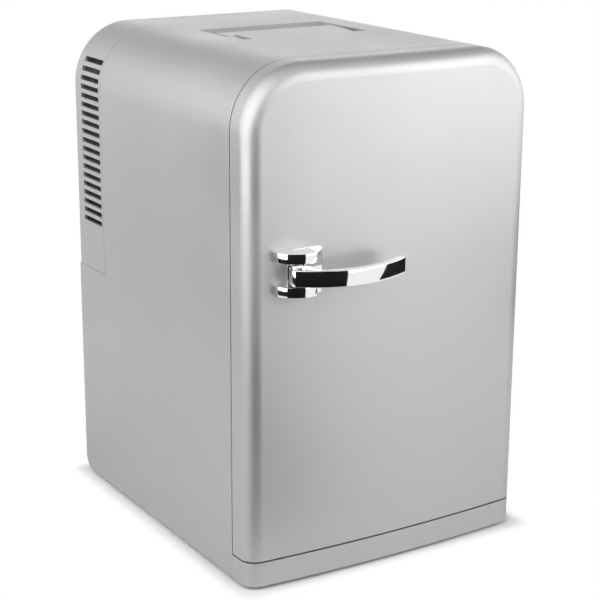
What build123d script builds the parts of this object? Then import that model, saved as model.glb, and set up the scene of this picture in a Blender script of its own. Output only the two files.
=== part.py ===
from build123d import *
import os
from math import cos, radians, sin, sqrt, tan

os.makedirs("parts", exist_ok=True)

# Driving dimensions, in millimetres and degrees

# Body as a whole
body_width = 276
body_height = 430
cabinet_depth = 288
corner_radius = 54
heel_radius = 13
shell_wall = 2.5
foot_height = 3
foot_radius = 10
foot_inset = 32
foot_chamfer = 0.8
seam_gap = 1.2
fit_gap = 0.2

# Door and plinth
door_side_depth = 26
door_bow = 6
front_round = 14
plinth_height = 21
door_bottom_gap = 1.5
plinth_tab_width = 24
plinth_tab_height = 8
plinth_tab_spacing = 150

# Cold compartment
cavity_side_wall = 34
cavity_floor = 42
cavity_roof = 37
cavity_rear_wall = 40.4
opening_round = 20
liner_wall = 1.6
frame_depth = 6
flange_width = 8
ledge_width = 7
ledge_height = 6
ledge_length = 122
ledge_lowest = 104
ledge_pitch = 64
ledge_count = 3
ledge_rear_gap = 18
shelf_thickness = 5
shelf_ledge = 1
shelf_slot_width = 7
shelf_slot_pitch = 14
shelf_slot_count = 12
shelf_rim = 14
shelf_round = 7

# Door lining, seal and bins
gasket_width = 9
gasket_clear = 1
gasket_squeeze_gap = 0.4
groove_depth = 5.5
groove_wall = 2
plug_margin = 6
plug_reach = 10
plug_round = 14
bin_width = 176
bin_depth = 38
bin_height = 46
bin_wall = 2.5
bin_round = 7
bin_lower_rise = 40
bin_upper_drop = 165

# Rear cover and its vents
cover_depth = 54
cover_drop = 224
cover_gap = 0.4
cover_edge_round = 3
vent_count = 19
vent_pitch = 8.13
vent_length = 37
vent_height = 4.5
vent_round = 1.5
vent_rear_margin = 14
vent_top_drop = 30.6
grille_radius = 38
grille_pitch = 8
grille_slot = 4.5
cover_boss_radius = 5
cover_boss_x = 112
cover_boss_rise = 16
cover_boss_drop = 44
cover_screw_radius = 1.6
cover_screw_head = 3.2
cover_screw_length = 14

# Thermoelectric cooler
cooler_drop = 108
cold_plate_width = 150
cold_plate_height = 118
cold_plate_base = 4
cold_plate_rib = 7
cold_rib_pitch = 10
cold_rib_thickness = 2
block_size = 62
module_size = 40
module_thickness = 4
sink_width = 120
sink_height = 110
sink_base = 5
fin_length = 22
fin_thickness = 1.5
fin_count = 11
fan_screw_fin_gaps = 7
clamp_screw_fin_gaps = 5
fan_size = 80
fan_hole_pitch = 71.5
fan_depth = 20
fan_bore_radius = 38.5
fan_hub_radius = 16
fan_blade_tip = 36
fan_blade_count = 7
fan_blade_chord = 15
fan_blade_thickness = 1.5
fan_blade_pitch = 38
fan_strut = 5
fan_strut_depth = 3
fan_strut_root = 0.5
rotor_front_gap = 1.5
rotor_rear_gap = 0.6
fan_shaft_radius = 2
fan_screw_radius = 1.5
fan_screw_head = 2.8
fan_screw_bite = 7
clamp_screw_radius = 1.6
clamp_screw_head = 3
clamp_screw_length = 18
screw_head_height = 2
running_gap = 0.05
small_gap = 0.3

# Electrical pieces in the rear compartment
board_width = 110
board_height = 34
board_thickness = 1.6
board_rise = 22
standoff_height = 6
standoff_radius = 3
standoff_margin = 5
board_screw_radius = 1.4
board_screw_head = 2.6
board_screw_length = 5.5
transformer_width = 30
transformer_height = 22
transformer_depth = 15
transformer_x = -27
capacitor_radius = 5
capacitor_depth = 13
capacitor_spacing = 13
capacitor_x = 9
terminal_width = 16
terminal_height = 10
terminal_depth = 9
terminal_x = 36
inlet_rise = 18
mains_inlet_x = -62
mains_inlet_width = 26
mains_inlet_height = 17
low_volt_inlet_x = 0
low_volt_inlet_radius = 6.5
low_volt_wall = 1.5
low_volt_pin_radius = 1.2
inlet_depth = 17
socket_depth = 12
socket_wall = 3
inlet_flange = 3
inlet_flange_thickness = 2
mains_pin_radius = 1.2
mains_pin_spacing = 8.6
inlet_pin_length = 10
inlet_pin_tail = 4
mode_switch_x = 62
switch_width = 14
switch_height = 22
switch_wall = 1.5
switch_depth = 15
rocker_pivot_depth = 6
rocker_pin_radius = 1
rocker_end_gap = 1.2
rocker_end_depth = 2.2
rocker_dish = 1
rocker_shoulder = 1.2
rocker_keel = 2.2

# Carry handle in the top
tray_width = 128
tray_length = 76
tray_depth = 16
tray_slope = 15
tray_centre = 22
island_length = 31
channel_width = 13
bail_arm_width = 7.5
bail_inner_gap = 1
bail_thickness = 9
bail_end_radius = 3.6
bail_grip_width = 21
bail_grip_gap = 1.5
bail_top_gap = 0.5
bail_pivot_inset = 8
bail_pin_radius = 2
bail_round = 2.2

# Door hinges
hinge_lower_rise = 92
hinge_upper_drop = 88
hinge_length = 50
hinge_barrel_radius = 4
hinge_pin_radius = 1.8
hinge_pin_head = 3.2
hinge_leaf_thickness = 1.6
hinge_leaf_cabinet = 20
hinge_leaf_door = 11
hinge_knuckle_gap = 0.3
hinge_screw_radius = 1.5
hinge_screw_head = 2.6
hinge_screw_spread = 34
hinge_screw_cabinet = 13.3
hinge_screw_door = 8.1
hinge_head_height = 1.2

# Chrome handle and latch
handle_inset = 42
handle_drop = 164.5
plate_width = 32
plate_height = 39
plate_thickness = 2
plate_left_share = 8
plate_round = 3
pivot_proud = 13
lug_height = 8
lug_gap = 19.2
lug_rise = 1.75
lug_left = 19.5
lug_left_back = 7.6
lug_right = 10.5
lug_end_proud = 5
lug_nose_proud = 4.5
lug_nose_left = 6
handle_pin_radius = 1.8
handle_pin_inset = 2.4
knuckle_radius = 7
heel_length = 10
heel_front = 3
lever_height = 13.4
lever_thickness = 6
lever_radius = 85
lever_centre_x = 45.1
lever_centre_y = 60.6
lever_start = 228
lever_end = 302
lever_edge = 0.8
lever_pull = 16
tail_length = 23.5
tail_neck = 4
tail_tip_radius = 2.2
tail_height = 8
tail_rest_gap = 0.9
tail_swing_gap = 0.6
notch_gap = 0.7
slide_thickness = 8
slide_height = 10
slide_arm_thickness = 5
slide_arm_start = 9
slide_gap = 0.4
finger_width = 5
finger_edge_gap = 7
nose_length = 3.2
nose_depth = 4.5
slide_tail = 18
housing_height = 40
housing_right = 38
housing_back = 2
spring_length = 16
spring_radius = 3
spring_wire = 0.6
spring_turns = 6
keeper_thickness = 1.5
keeper_height = 26
keeper_gap = 0.3
keeper_margin = 2.5
keeper_screw_radius = 1.25
keeper_screw_head = 2.2
keeper_head_height = 0.8
keeper_screw_bite = 3
handle_screw_radius = 2
handle_screw_head = 3.5
handle_screw_spread = 27.2
handle_screw_side = 7
handle_screw_bite = 6

# Places worked out from the sizes above
half_width = body_width / 2
body_bottom = foot_height
body_top = body_bottom + body_height
front_y = -(cabinet_depth + door_side_depth + door_bow) / 2
front_side_y = front_y + door_bow
seam_y = front_side_y + door_side_depth
rear_y = seam_y + cabinet_depth
door_back_y = seam_y - seam_gap / 2
cabinet_front_y = seam_y + seam_gap / 2
plinth_top = body_bottom + plinth_height
door_bottom = plinth_top + door_bottom_gap
frame_back_y = cabinet_front_y + frame_depth
cover_y = rear_y - cover_depth
cover_z = body_top - cover_drop
cooler_z = body_top - cooler_drop
cavity_width = body_width - 2 * cavity_side_wall
cavity_bottom = body_bottom + cavity_floor
cavity_top = body_top - cavity_roof
cavity_height = cavity_top - cavity_bottom
cavity_middle = (cavity_bottom + cavity_top) / 2
cavity_rear_y = cover_y - cavity_rear_wall
cavity_depth = cavity_rear_y - frame_back_y
bow_radius = (half_width**2 + door_bow**2) / (2 * door_bow)


def plane_at_y(y):
    """Upright plane at a depth, with its normal towards the front."""
    return Plane.XZ.offset(-y)


def rear_plane_at_y(y):
    """Upright plane at a depth, with its normal towards the rear and its X axis turned round."""
    return Plane(origin=(0, y, 0), x_dir=(-1, 0, 0), z_dir=(0, 1, 0))


def front_at(x):
    """Depth of the bowed front at a distance from the middle."""
    return front_y + bow_radius - sqrt(bow_radius**2 - x**2)


def save(piece, name):
    """Label a finished piece and write it as its own file."""
    piece.part.label = name
    export_step(piece.part, f"parts/{name}.step")


def upright_outline(inset, bottom):
    """Front view of the body: straight sides and two large round corners at the top."""
    with Locations((0, bottom)):
        Rectangle(body_width - 2 * inset, body_top - inset - bottom, align=(Align.CENTER, Align.MIN))
    fillet(vertices().group_by(Axis.Y)[-1], corner_radius - inset)


def opening_outline(grow):
    """Front view of the cold compartment's mouth, grown by an amount on every side."""
    with Locations((0, cavity_middle)):
        RectangleRounded(cavity_width + 2 * grow, cavity_height + 2 * grow, opening_round + grow)


def plan_outline(inset, back):
    """Plan of the bowed front, from the bow back to a depth."""
    half = half_width - inset
    with BuildLine() as outline:
        Polyline((-half, front_side_y + inset), (-half, back), (half, back), (half, front_side_y + inset))
        ThreePointArc((half, front_side_y + inset), (0, front_y + inset), (-half, front_side_y + inset))
    make_face(outline.edges())


def cabinet_block(inset, front):
    """Solid form of the cabinet: full depth below the rear cover, shorter above."""
    with BuildPart() as block:
        with BuildSketch(plane_at_y(front)):
            upright_outline(inset, body_bottom + inset)
        extrude(amount=front - (rear_y - inset))
        with BuildSketch(plane_at_y(cover_y - inset)):
            with Locations((0, cover_z - inset)):
                Rectangle(body_width, body_height, align=(Align.CENTER, Align.MIN))
        extrude(amount=-cabinet_depth, mode=Mode.SUBTRACT)
        heel_edges = block.edges().filter_by(Axis.X).group_by(Axis.Z)[0]
        fillet(heel_edges.sort_by(Axis.Y)[-1], heel_radius - inset)
    return block.part


def door_block(inset, back):
    """Solid form of the door, with a bowed front and a rounded front edge."""
    with BuildPart() as block:
        with BuildSketch(plane_at_y(back)):
            upright_outline(inset, door_bottom + inset)
        extrude(amount=back - front_y)
        with BuildSketch(Plane.XY.offset(door_bottom)):
            plan_outline(inset, back)
        extrude(amount=body_top, mode=Mode.INTERSECT)
        front_face = block.faces().sort_by(Axis.Y)[0]
        fillet(front_face.edges().sort_by(Axis.Z)[1:], front_round - inset)
    return block.part


def pan_screw(plane, points, shank, head, length, head_height=screw_head_height):
    """Screws at points on a plane: heads stand on the plane, shanks go in behind it."""
    with BuildPart() as screws:
        with BuildSketch(plane):
            with Locations(*points):
                Circle(head)
        extrude(amount=head_height)
        with BuildSketch(plane):
            with Locations(*points):
                Circle(shank)
        extrude(amount=-length)
    return screws


def rear_screw(y, points, shank, head, length, head_height=screw_head_height):
    """Screws put in from the rear, at points given as seen from the front."""
    turned = [(-x, z) for x, z in points]
    return pan_screw(rear_plane_at_y(y), turned, shank, head, length, head_height)


# Cabinet shell: moulded outer sleeve with its back wall, handle recess and cover bosses
tray_floor_z = body_top - tray_depth
tray_front_y = tray_centre - tray_length / 2
tray_rear_y = tray_front_y + tray_length
bail_pivot_y = tray_front_y + bail_pivot_inset
bail_top_z = body_top - bail_top_gap
bail_bottom_z = bail_top_z - bail_thickness
bail_pivot_z = bail_bottom_z + bail_end_radius
boss_heights = (cover_z + cover_boss_rise, body_top - cover_boss_drop)
boss_points = [(side * cover_boss_x, z) for side in (-1, 1) for z in boss_heights]
boss_end_y = rear_y - shell_wall - fit_gap
hinge_x = half_width + hinge_barrel_radius + small_gap
hinge_heights = (body_bottom + hinge_lower_rise, body_top - hinge_upper_drop)
hinge_screw_heights = [z + side * hinge_screw_spread / 2 for z in hinge_heights for side in (-1, 1)]
cabinet_screw_y = seam_y + hinge_screw_cabinet
door_screw_y = seam_y - hinge_screw_door
foot_points = [
    (side_x * (half_width - foot_inset), y)
    for side_x in (-1, 1)
    for y in (cabinet_front_y + foot_inset, rear_y - foot_inset)
]
cabinet_outer = cabinet_block(0, cabinet_front_y)
cabinet_core = cabinet_block(shell_wall, cabinet_front_y - shell_wall)
with BuildPart() as cabinet_shell:
    add(cabinet_outer)
    add(cabinet_core, mode=Mode.SUBTRACT)
    with BuildSketch(Plane.XY.offset(tray_floor_z - shell_wall)):
        with Locations((0, tray_centre)):
            Rectangle(tray_width + 2 * shell_wall, tray_length + 2 * shell_wall)
    extrude(amount=tray_depth)
    with BuildSketch(Plane.XY.offset(tray_floor_z)):
        with Locations((0, tray_centre)):
            Rectangle(tray_width, tray_length)
        with Locations((0, tray_front_y)):
            Rectangle(
                tray_width - 2 * channel_width,
                island_length,
                align=(Align.CENTER, Align.MIN),
                mode=Mode.SUBTRACT,
            )
    extrude(amount=2 * tray_depth, mode=Mode.SUBTRACT)
    with BuildSketch(Plane.YZ.offset(-tray_width / 2)):
        with BuildLine():
            Polyline(
                (tray_rear_y, body_top),
                (tray_rear_y - tray_slope, tray_floor_z),
                (tray_rear_y, tray_floor_z),
                close=True,
            )
        make_face()
    extrude(amount=tray_width)
    for start_x in (-tray_width / 2 - shell_wall, tray_width / 2):
        with BuildSketch(Plane.YZ.offset(start_x)):
            with Locations((bail_pivot_y, bail_pivot_z)):
                Circle(bail_pin_radius)
        extrude(amount=shell_wall, mode=Mode.SUBTRACT)
    with BuildSketch(plane_at_y(cover_y - shell_wall)):
        with Locations((0, cooler_z)):
            Rectangle(block_size + 2 * small_gap, block_size + 2 * small_gap)
    extrude(amount=-shell_wall, mode=Mode.SUBTRACT)
    with BuildSketch(plane_at_y(cover_y)):
        with Locations(*boss_points):
            Circle(cover_boss_radius)
    extrude(amount=cover_y - boss_end_y)
    with BuildSketch(plane_at_y(boss_end_y)):
        with Locations(*boss_points):
            Circle(cover_screw_radius)
    extrude(amount=cover_screw_length, mode=Mode.SUBTRACT)
    with BuildSketch(Plane.YZ.offset(half_width - shell_wall)):
        with Locations(*[(cabinet_screw_y, z) for z in hinge_screw_heights]):
            Circle(hinge_screw_radius)
    extrude(amount=shell_wall, mode=Mode.SUBTRACT)
save(cabinet_shell, "cabinet_shell")

# Front frame: flat ring inside the shell's mouth that the door seal closes on
pivot_x = handle_inset - half_width
handle_z = body_top - handle_drop
finger_left = -half_width + finger_edge_gap
finger_right = finger_left + finger_width
lever_travel = tail_length * sin(radians(lever_pull))
hook_slot_left = finger_left - small_gap
hook_slot_right = finger_right + lever_travel + small_gap
hook_slot_height = slide_height + 2 * slide_gap
tab_points = [(side * plinth_tab_spacing / 2, body_bottom + plinth_height / 2) for side in (-1, 1)]
hook_slot_x = (hook_slot_left + hook_slot_right) / 2
keeper_right = hook_slot_right + keeper_margin
keeper_screw_spread = (hook_slot_height + keeper_height) / 2
keeper_points = [(hook_slot_x, handle_z + side * keeper_screw_spread / 2) for side in (-1, 1)]


def hook_slot():
    """Window that the latch finger reaches through, with room for its travel."""
    with Locations((hook_slot_x, handle_z)):
        Rectangle(hook_slot_right - hook_slot_left, hook_slot_height)


with BuildPart() as front_frame:
    with BuildSketch(plane_at_y(cabinet_front_y)):
        upright_outline(shell_wall + fit_gap, body_bottom + shell_wall + fit_gap)
        with Locations((0, cavity_middle)):
            RectangleRounded(cavity_width, cavity_height, opening_round, mode=Mode.SUBTRACT)
    extrude(amount=-frame_depth)
    with BuildSketch(plane_at_y(cabinet_front_y)):
        hook_slot()
        with Locations(*tab_points):
            Rectangle(plinth_tab_width + 2 * fit_gap, plinth_tab_height + 2 * fit_gap)
    extrude(amount=-frame_depth, mode=Mode.SUBTRACT)
    with BuildSketch(plane_at_y(frame_back_y)):
        with Locations(*keeper_points):
            Circle(keeper_screw_radius)
    extrude(amount=keeper_screw_bite, mode=Mode.SUBTRACT)
save(front_frame, "front_frame")

# Plinth: hollow kick strip under the door, held by two tabs in the front frame
plinth_back_y = cabinet_front_y - fit_gap
tab_root_y = front_at(plinth_tab_spacing / 2) + shell_wall / 2
with BuildPart() as plinth:
    with BuildSketch(Plane.XY.offset(body_bottom)):
        plan_outline(0, plinth_back_y)
        fillet(vertices().group_by(Axis.Y)[0], front_round)
    extrude(amount=plinth_height)
    with BuildSketch(Plane.XY.offset(body_bottom + shell_wall)):
        plan_outline(shell_wall, plinth_back_y)
        fillet(vertices().group_by(Axis.Y)[0], front_round - shell_wall)
    extrude(amount=plinth_height - 2 * shell_wall, mode=Mode.SUBTRACT)
    with BuildSketch(Plane.XY.offset(tab_points[0][1] - plinth_tab_height / 2)):
        with Locations(*[(x, frame_back_y) for x, z in tab_points]):
            Rectangle(plinth_tab_width, frame_back_y - tab_root_y, align=(Align.CENTER, Align.MAX))
    extrude(amount=plinth_tab_height)
save(plinth, "plinth")

# Rubber feet: four discs under the base
with BuildPart() as rubber_feet:
    with BuildSketch(Plane.XY):
        with Locations(*foot_points):
            Circle(foot_radius)
    extrude(amount=foot_height)
    chamfer(rubber_feet.edges().group_by(Axis.Z)[0], foot_chamfer)
save(rubber_feet, "rubber_feet")

# Inner liner: white tub of the cold compartment, with a front flange and shelf ledges
ledge_rear_y = cavity_rear_y - ledge_rear_gap
ledge_tops = [cavity_bottom + ledge_lowest + row * ledge_pitch for row in range(ledge_count)]
with BuildPart() as inner_liner:
    with BuildSketch(plane_at_y(frame_back_y)):
        opening_outline(liner_wall)
    extrude(amount=-(cavity_depth + liner_wall))
    with BuildSketch(plane_at_y(frame_back_y)):
        opening_outline(flange_width)
    extrude(amount=-liner_wall)
    with BuildSketch(plane_at_y(frame_back_y)):
        opening_outline(0)
    extrude(amount=-cavity_depth, mode=Mode.SUBTRACT)
    for ledge_top in ledge_tops:
        with BuildSketch(Plane.XY.offset(ledge_top - ledge_height)):
            for side in (-1, 1):
                with Locations((side * (cavity_width + liner_wall - ledge_width) / 2, ledge_rear_y)):
                    Rectangle(ledge_width + liner_wall, ledge_length, align=(Align.CENTER, Align.MAX))
        extrude(amount=ledge_height)
    with BuildSketch(plane_at_y(cavity_rear_y)):
        with Locations((0, cooler_z)):
            Rectangle(block_size + 2 * small_gap, block_size + 2 * small_gap)
    extrude(amount=-liner_wall, mode=Mode.SUBTRACT)
save(inner_liner, "inner_liner")

# Foam insulation: fills the space between the shell, the liner and the front frame
foam_front_y = frame_back_y + liner_wall + fit_gap
foam_block = cabinet_block(shell_wall + fit_gap, foam_front_y)
hook_room = nose_depth + keeper_thickness + 2 * small_gap + seam_gap
with BuildPart() as foam_insulation:
    add(foam_block)
    with BuildSketch(plane_at_y(foam_front_y)):
        opening_outline(liner_wall + fit_gap)
    extrude(amount=-(cavity_rear_y + liner_wall + fit_gap - foam_front_y), mode=Mode.SUBTRACT)
    with BuildSketch(Plane.XY.offset(tray_floor_z - shell_wall - fit_gap)):
        with Locations((0, tray_centre)):
            Rectangle(tray_width + 2 * (shell_wall + fit_gap), tray_length + 2 * (shell_wall + fit_gap))
    extrude(amount=2 * tray_depth, mode=Mode.SUBTRACT)
    with BuildSketch(plane_at_y(cavity_rear_y)):
        with Locations((0, cooler_z)):
            Rectangle(block_size + 2 * small_gap, block_size + 2 * small_gap)
    extrude(amount=cavity_rear_y - cover_y, mode=Mode.SUBTRACT)
    with BuildSketch(plane_at_y(frame_back_y)):
        with Locations((-half_width, handle_z)):
            Rectangle(
                keeper_right + half_width + small_gap,
                keeper_height + 2 * small_gap,
                align=(Align.MIN, Align.CENTER),
            )
    extrude(amount=-hook_room, mode=Mode.SUBTRACT)
    with BuildSketch(plane_at_y(frame_back_y)):
        with Locations(*tab_points):
            Rectangle(plinth_tab_width + 2 * small_gap, plinth_tab_height + 2 * small_gap)
    extrude(amount=-frame_depth, mode=Mode.SUBTRACT)
save(foam_insulation, "foam_insulation")

# Shelf: slotted rack that lies on one pair of ledges
shelf_z = ledge_tops[shelf_ledge]
shelf_width = cavity_width - 2 * small_gap
with BuildPart() as cabinet_shelf:
    with BuildSketch(Plane.XY.offset(shelf_z)):
        with Locations((0, ledge_rear_y - ledge_length / 2)):
            RectangleRounded(shelf_width, ledge_length, shelf_round)
            with GridLocations(shelf_slot_pitch, 1, shelf_slot_count, 1):
                SlotOverall(
                    ledge_length - 2 * shelf_rim, shelf_slot_width, rotation=90, mode=Mode.SUBTRACT
                )
    extrude(amount=shelf_thickness)
save(cabinet_shelf, "cabinet_shelf")

# Keeper: steel strike plate behind the frame's slot that the latch nose catches on
keeper_y = frame_back_y
keeper_back_y = keeper_y + keeper_thickness
keeper_left = -half_width + shell_wall + 2 * fit_gap
with BuildPart() as keeper_plate:
    with BuildSketch(plane_at_y(keeper_y)):
        with Locations((keeper_left, handle_z)):
            Rectangle(keeper_right - keeper_left, keeper_height, align=(Align.MIN, Align.CENTER))
        with Locations((hook_slot_x, handle_z)):
            Rectangle(hook_slot_right - hook_slot_left, hook_slot_height, mode=Mode.SUBTRACT)
        with Locations(*keeper_points):
            Circle(keeper_screw_radius, mode=Mode.SUBTRACT)
    extrude(amount=-keeper_thickness)
save(keeper_plate, "keeper_plate")

keeper_screws = rear_screw(
    keeper_back_y,
    keeper_points,
    keeper_screw_radius,
    keeper_screw_head,
    keeper_thickness + keeper_screw_bite,
    keeper_head_height,
)
save(keeper_screws, "keeper_screws")

# Cold plate: ribbed aluminium plate on the compartment's back wall
with BuildPart() as cold_plate:
    with BuildSketch(plane_at_y(cavity_rear_y)):
        with Locations((0, cooler_z)):
            RectangleRounded(cold_plate_width, cold_plate_height, plate_round)
    extrude(amount=cold_plate_base)
    rib_count = int(cold_plate_width // cold_rib_pitch) - 1
    with BuildSketch(plane_at_y(cavity_rear_y - cold_plate_base)):
        with Locations((0, cooler_z)):
            with GridLocations(cold_rib_pitch, 1, rib_count, 1):
                Rectangle(cold_rib_thickness, cold_plate_height - 2 * plate_round)
    extrude(amount=cold_plate_rib)
save(cold_plate, "cold_plate")

# Cold block: aluminium block that carries the cold through the foam
module_y = cover_y - module_thickness
fin_pitch = fan_hole_pitch / fan_screw_fin_gaps
clamp_half = clamp_screw_fin_gaps * fin_pitch / 2
clamp_points = [
    (side_x * clamp_half, cooler_z + side_z * clamp_half) for side_x in (-1, 1) for side_z in (-1, 1)
]
clamp_depth = clamp_screw_length - sink_base
with BuildPart() as cold_block:
    with BuildSketch(plane_at_y(module_y)):
        with Locations((0, cooler_z)):
            Rectangle(block_size, block_size)
    extrude(amount=module_y - cavity_rear_y)
    with BuildSketch(plane_at_y(cover_y)):
        with Locations(*clamp_points):
            Circle(clamp_screw_radius)
    extrude(amount=clamp_depth, mode=Mode.SUBTRACT)
save(cold_block, "cold_block")

# Peltier module: thin square chip between the cold block and the heat sink
with BuildPart() as peltier_module:
    with BuildSketch(plane_at_y(module_y)):
        with Locations((0, cooler_z)):
            Rectangle(module_size, module_size)
    extrude(amount=-module_thickness)
save(peltier_module, "peltier_module")

# Heat sink: finned aluminium extrusion on the warm side
sink_face_y = cover_y + sink_base
fin_end_y = sink_face_y + fin_length
with BuildPart() as heat_sink:
    with BuildSketch(plane_at_y(cover_y)):
        with Locations((0, cooler_z)):
            Rectangle(sink_width, sink_height)
    extrude(amount=-sink_base)
    with BuildSketch(plane_at_y(sink_face_y)):
        with Locations((0, cooler_z)):
            with GridLocations(fin_pitch, 1, fin_count, 1):
                Rectangle(fin_thickness, sink_height)
    extrude(amount=-fin_length)
    with BuildSketch(plane_at_y(cover_y)):
        with Locations(*clamp_points):
            Circle(clamp_screw_radius)
    extrude(amount=-sink_base, mode=Mode.SUBTRACT)
save(heat_sink, "heat_sink")

heat_sink_screws = rear_screw(
    sink_face_y, clamp_points, clamp_screw_radius, clamp_screw_head, clamp_screw_length
)
save(heat_sink_screws, "heat_sink_screws")

# Fan frame: square housing with struts that hold the motor
fan_front_y = fin_end_y
fan_rear_y = fan_front_y + fan_depth
strut_y = fan_rear_y - fan_strut_depth
strut_length = 2 * (fan_bore_radius + fan_strut_root)
fan_points = [
    (side_x * fan_hole_pitch / 2, cooler_z + side_z * fan_hole_pitch / 2)
    for side_x in (-1, 1)
    for side_z in (-1, 1)
]
with BuildPart() as fan_frame:
    with BuildSketch(plane_at_y(fan_front_y)):
        with Locations((0, cooler_z)):
            RectangleRounded(fan_size, fan_size, plate_round)
            Circle(fan_bore_radius, mode=Mode.SUBTRACT)
        with Locations(*fan_points):
            Circle(fan_screw_radius + fit_gap, mode=Mode.SUBTRACT)
    extrude(amount=-fan_depth)
    with BuildSketch(plane_at_y(strut_y)):
        with Locations((0, cooler_z)):
            Rectangle(strut_length, fan_strut)
            Rectangle(fan_strut, strut_length)
            Circle(fan_hub_radius)
            Circle(fan_shaft_radius + running_gap, mode=Mode.SUBTRACT)
    extrude(amount=-fan_strut_depth)
save(fan_frame, "fan_frame")

fan_screws = rear_screw(
    fan_rear_y, fan_points, fan_screw_radius, fan_screw_head, fan_depth + fan_screw_bite
)
save(fan_screws, "fan_screws")

# Fan rotor: hub with pitched blades, turning on a short shaft
rotor_front_y = fan_front_y + rotor_front_gap
rotor_rear_y = strut_y - rotor_rear_gap
rotor_depth = rotor_rear_y - rotor_front_y
blade_root = fan_hub_radius - fan_blade_thickness
with BuildPart(Plane(origin=(0, rotor_rear_y, cooler_z), x_dir=(1, 0, 0), z_dir=(0, -1, 0))) as fan_rotor:
    Cylinder(fan_hub_radius, rotor_depth, align=(Align.CENTER, Align.CENTER, Align.MIN))
    with Locations((0, 0, rotor_depth / 2)):
        with PolarLocations((blade_root + fan_blade_tip) / 2, fan_blade_count):
            Box(
                fan_blade_tip - blade_root,
                fan_blade_thickness,
                fan_blade_chord,
                rotation=(fan_blade_pitch, 0, 0),
            )
    Cylinder(
        fan_shaft_radius,
        fan_strut_depth + small_gap,
        align=(Align.CENTER, Align.CENTER, Align.MAX),
    )
save(fan_rotor, "fan_rotor")

# Control board: bare circuit board on four standoffs
board_z = cover_z + board_rise
board_y = cover_y + standoff_height
board_face_y = board_y + board_thickness
standoff_points = [
    (side_x * (board_width / 2 - standoff_margin), board_z + side_z * (board_height / 2 - standoff_margin))
    for side_x in (-1, 1)
    for side_z in (-1, 1)
]
with BuildPart() as control_board:
    with BuildSketch(plane_at_y(board_y)):
        with Locations((0, board_z)):
            Rectangle(board_width, board_height)
        with Locations(*standoff_points):
            Circle(board_screw_radius, mode=Mode.SUBTRACT)
    extrude(amount=-board_thickness)
save(control_board, "control_board")

# Board components: transformer block, two capacitors and a terminal block standing on the board
with BuildPart() as board_transformer:
    with BuildSketch(plane_at_y(board_face_y)):
        with Locations((transformer_x, board_z)):
            Rectangle(transformer_width, transformer_height)
    extrude(amount=-transformer_depth)
save(board_transformer, "board_transformer")

with BuildPart() as board_capacitors:
    with BuildSketch(plane_at_y(board_face_y)):
        with Locations((capacitor_x, board_z)):
            with GridLocations(capacitor_spacing, 1, 2, 1):
                Circle(capacitor_radius)
    extrude(amount=-capacitor_depth)
save(board_capacitors, "board_capacitors")

with BuildPart() as board_terminal:
    with BuildSketch(plane_at_y(board_face_y)):
        with Locations((terminal_x, board_z)):
            Rectangle(terminal_width, terminal_height)
    extrude(amount=-terminal_depth)
save(board_terminal, "board_terminal")

with BuildPart() as board_standoffs:
    with BuildSketch(plane_at_y(cover_y)):
        with Locations(*standoff_points):
            RegularPolygon(standoff_radius, 6)
            Circle(board_screw_radius, mode=Mode.SUBTRACT)
    extrude(amount=-standoff_height)
save(board_standoffs, "board_standoffs")

board_screws = rear_screw(
    board_face_y, standoff_points, board_screw_radius, board_screw_head, board_screw_length
)
save(board_screws, "board_screws")

# Rear cover: vented hood over the cooler, wrapping the upper back of the body
inlet_z = cover_z + inlet_rise
vent_y = rear_y - vent_rear_margin - vent_length / 2
vent_middle_z = body_top - vent_top_drop - vent_pitch * (vent_count - 1) / 2
cover_front_y = cover_y + cover_gap
cover_lower_z = cover_z + cover_gap
grille_rows = int(grille_radius // grille_pitch)
with BuildPart() as rear_cover:
    with BuildSketch(plane_at_y(cover_front_y)):
        upright_outline(0, cover_lower_z)
    extrude(amount=cover_front_y - rear_y)
    fillet(rear_cover.faces().sort_by(Axis.Y)[-1].edges(), cover_edge_round)
    with BuildSketch(plane_at_y(cover_front_y)):
        upright_outline(shell_wall, cover_lower_z)
    extrude(amount=cover_front_y - (rear_y - shell_wall), mode=Mode.SUBTRACT)
    with BuildSketch(Plane.YZ):
        with Locations((vent_y, vent_middle_z)):
            with GridLocations(1, vent_pitch, 1, vent_count):
                RectangleRounded(vent_length, vent_height, vent_round)
    extrude(amount=half_width, both=True, mode=Mode.SUBTRACT)
    with BuildSketch(plane_at_y(rear_y - shell_wall)):
        for row in range(-grille_rows, grille_rows + 1):
            half_chord = sqrt(grille_radius**2 - (row * grille_pitch) ** 2)
            with Locations((0, cooler_z + row * grille_pitch)):
                SlotOverall(2 * half_chord, grille_slot)
        with Locations((mains_inlet_x, inlet_z)):
            Rectangle(mains_inlet_width + 2 * fit_gap, mains_inlet_height + 2 * fit_gap)
        with Locations((low_volt_inlet_x, inlet_z)):
            Circle(low_volt_inlet_radius + fit_gap)
        with Locations((mode_switch_x, inlet_z)):
            Rectangle(switch_width + 2 * fit_gap, switch_height + 2 * fit_gap)
        with Locations(*boss_points):
            Circle(cover_screw_radius + fit_gap)
    extrude(amount=-shell_wall, mode=Mode.SUBTRACT)
save(rear_cover, "rear_cover")

cover_screws = rear_screw(
    rear_y, boss_points, cover_screw_radius, cover_screw_head, shell_wall + cover_screw_length - fit_gap
)
save(cover_screws, "cover_screws")

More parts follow.
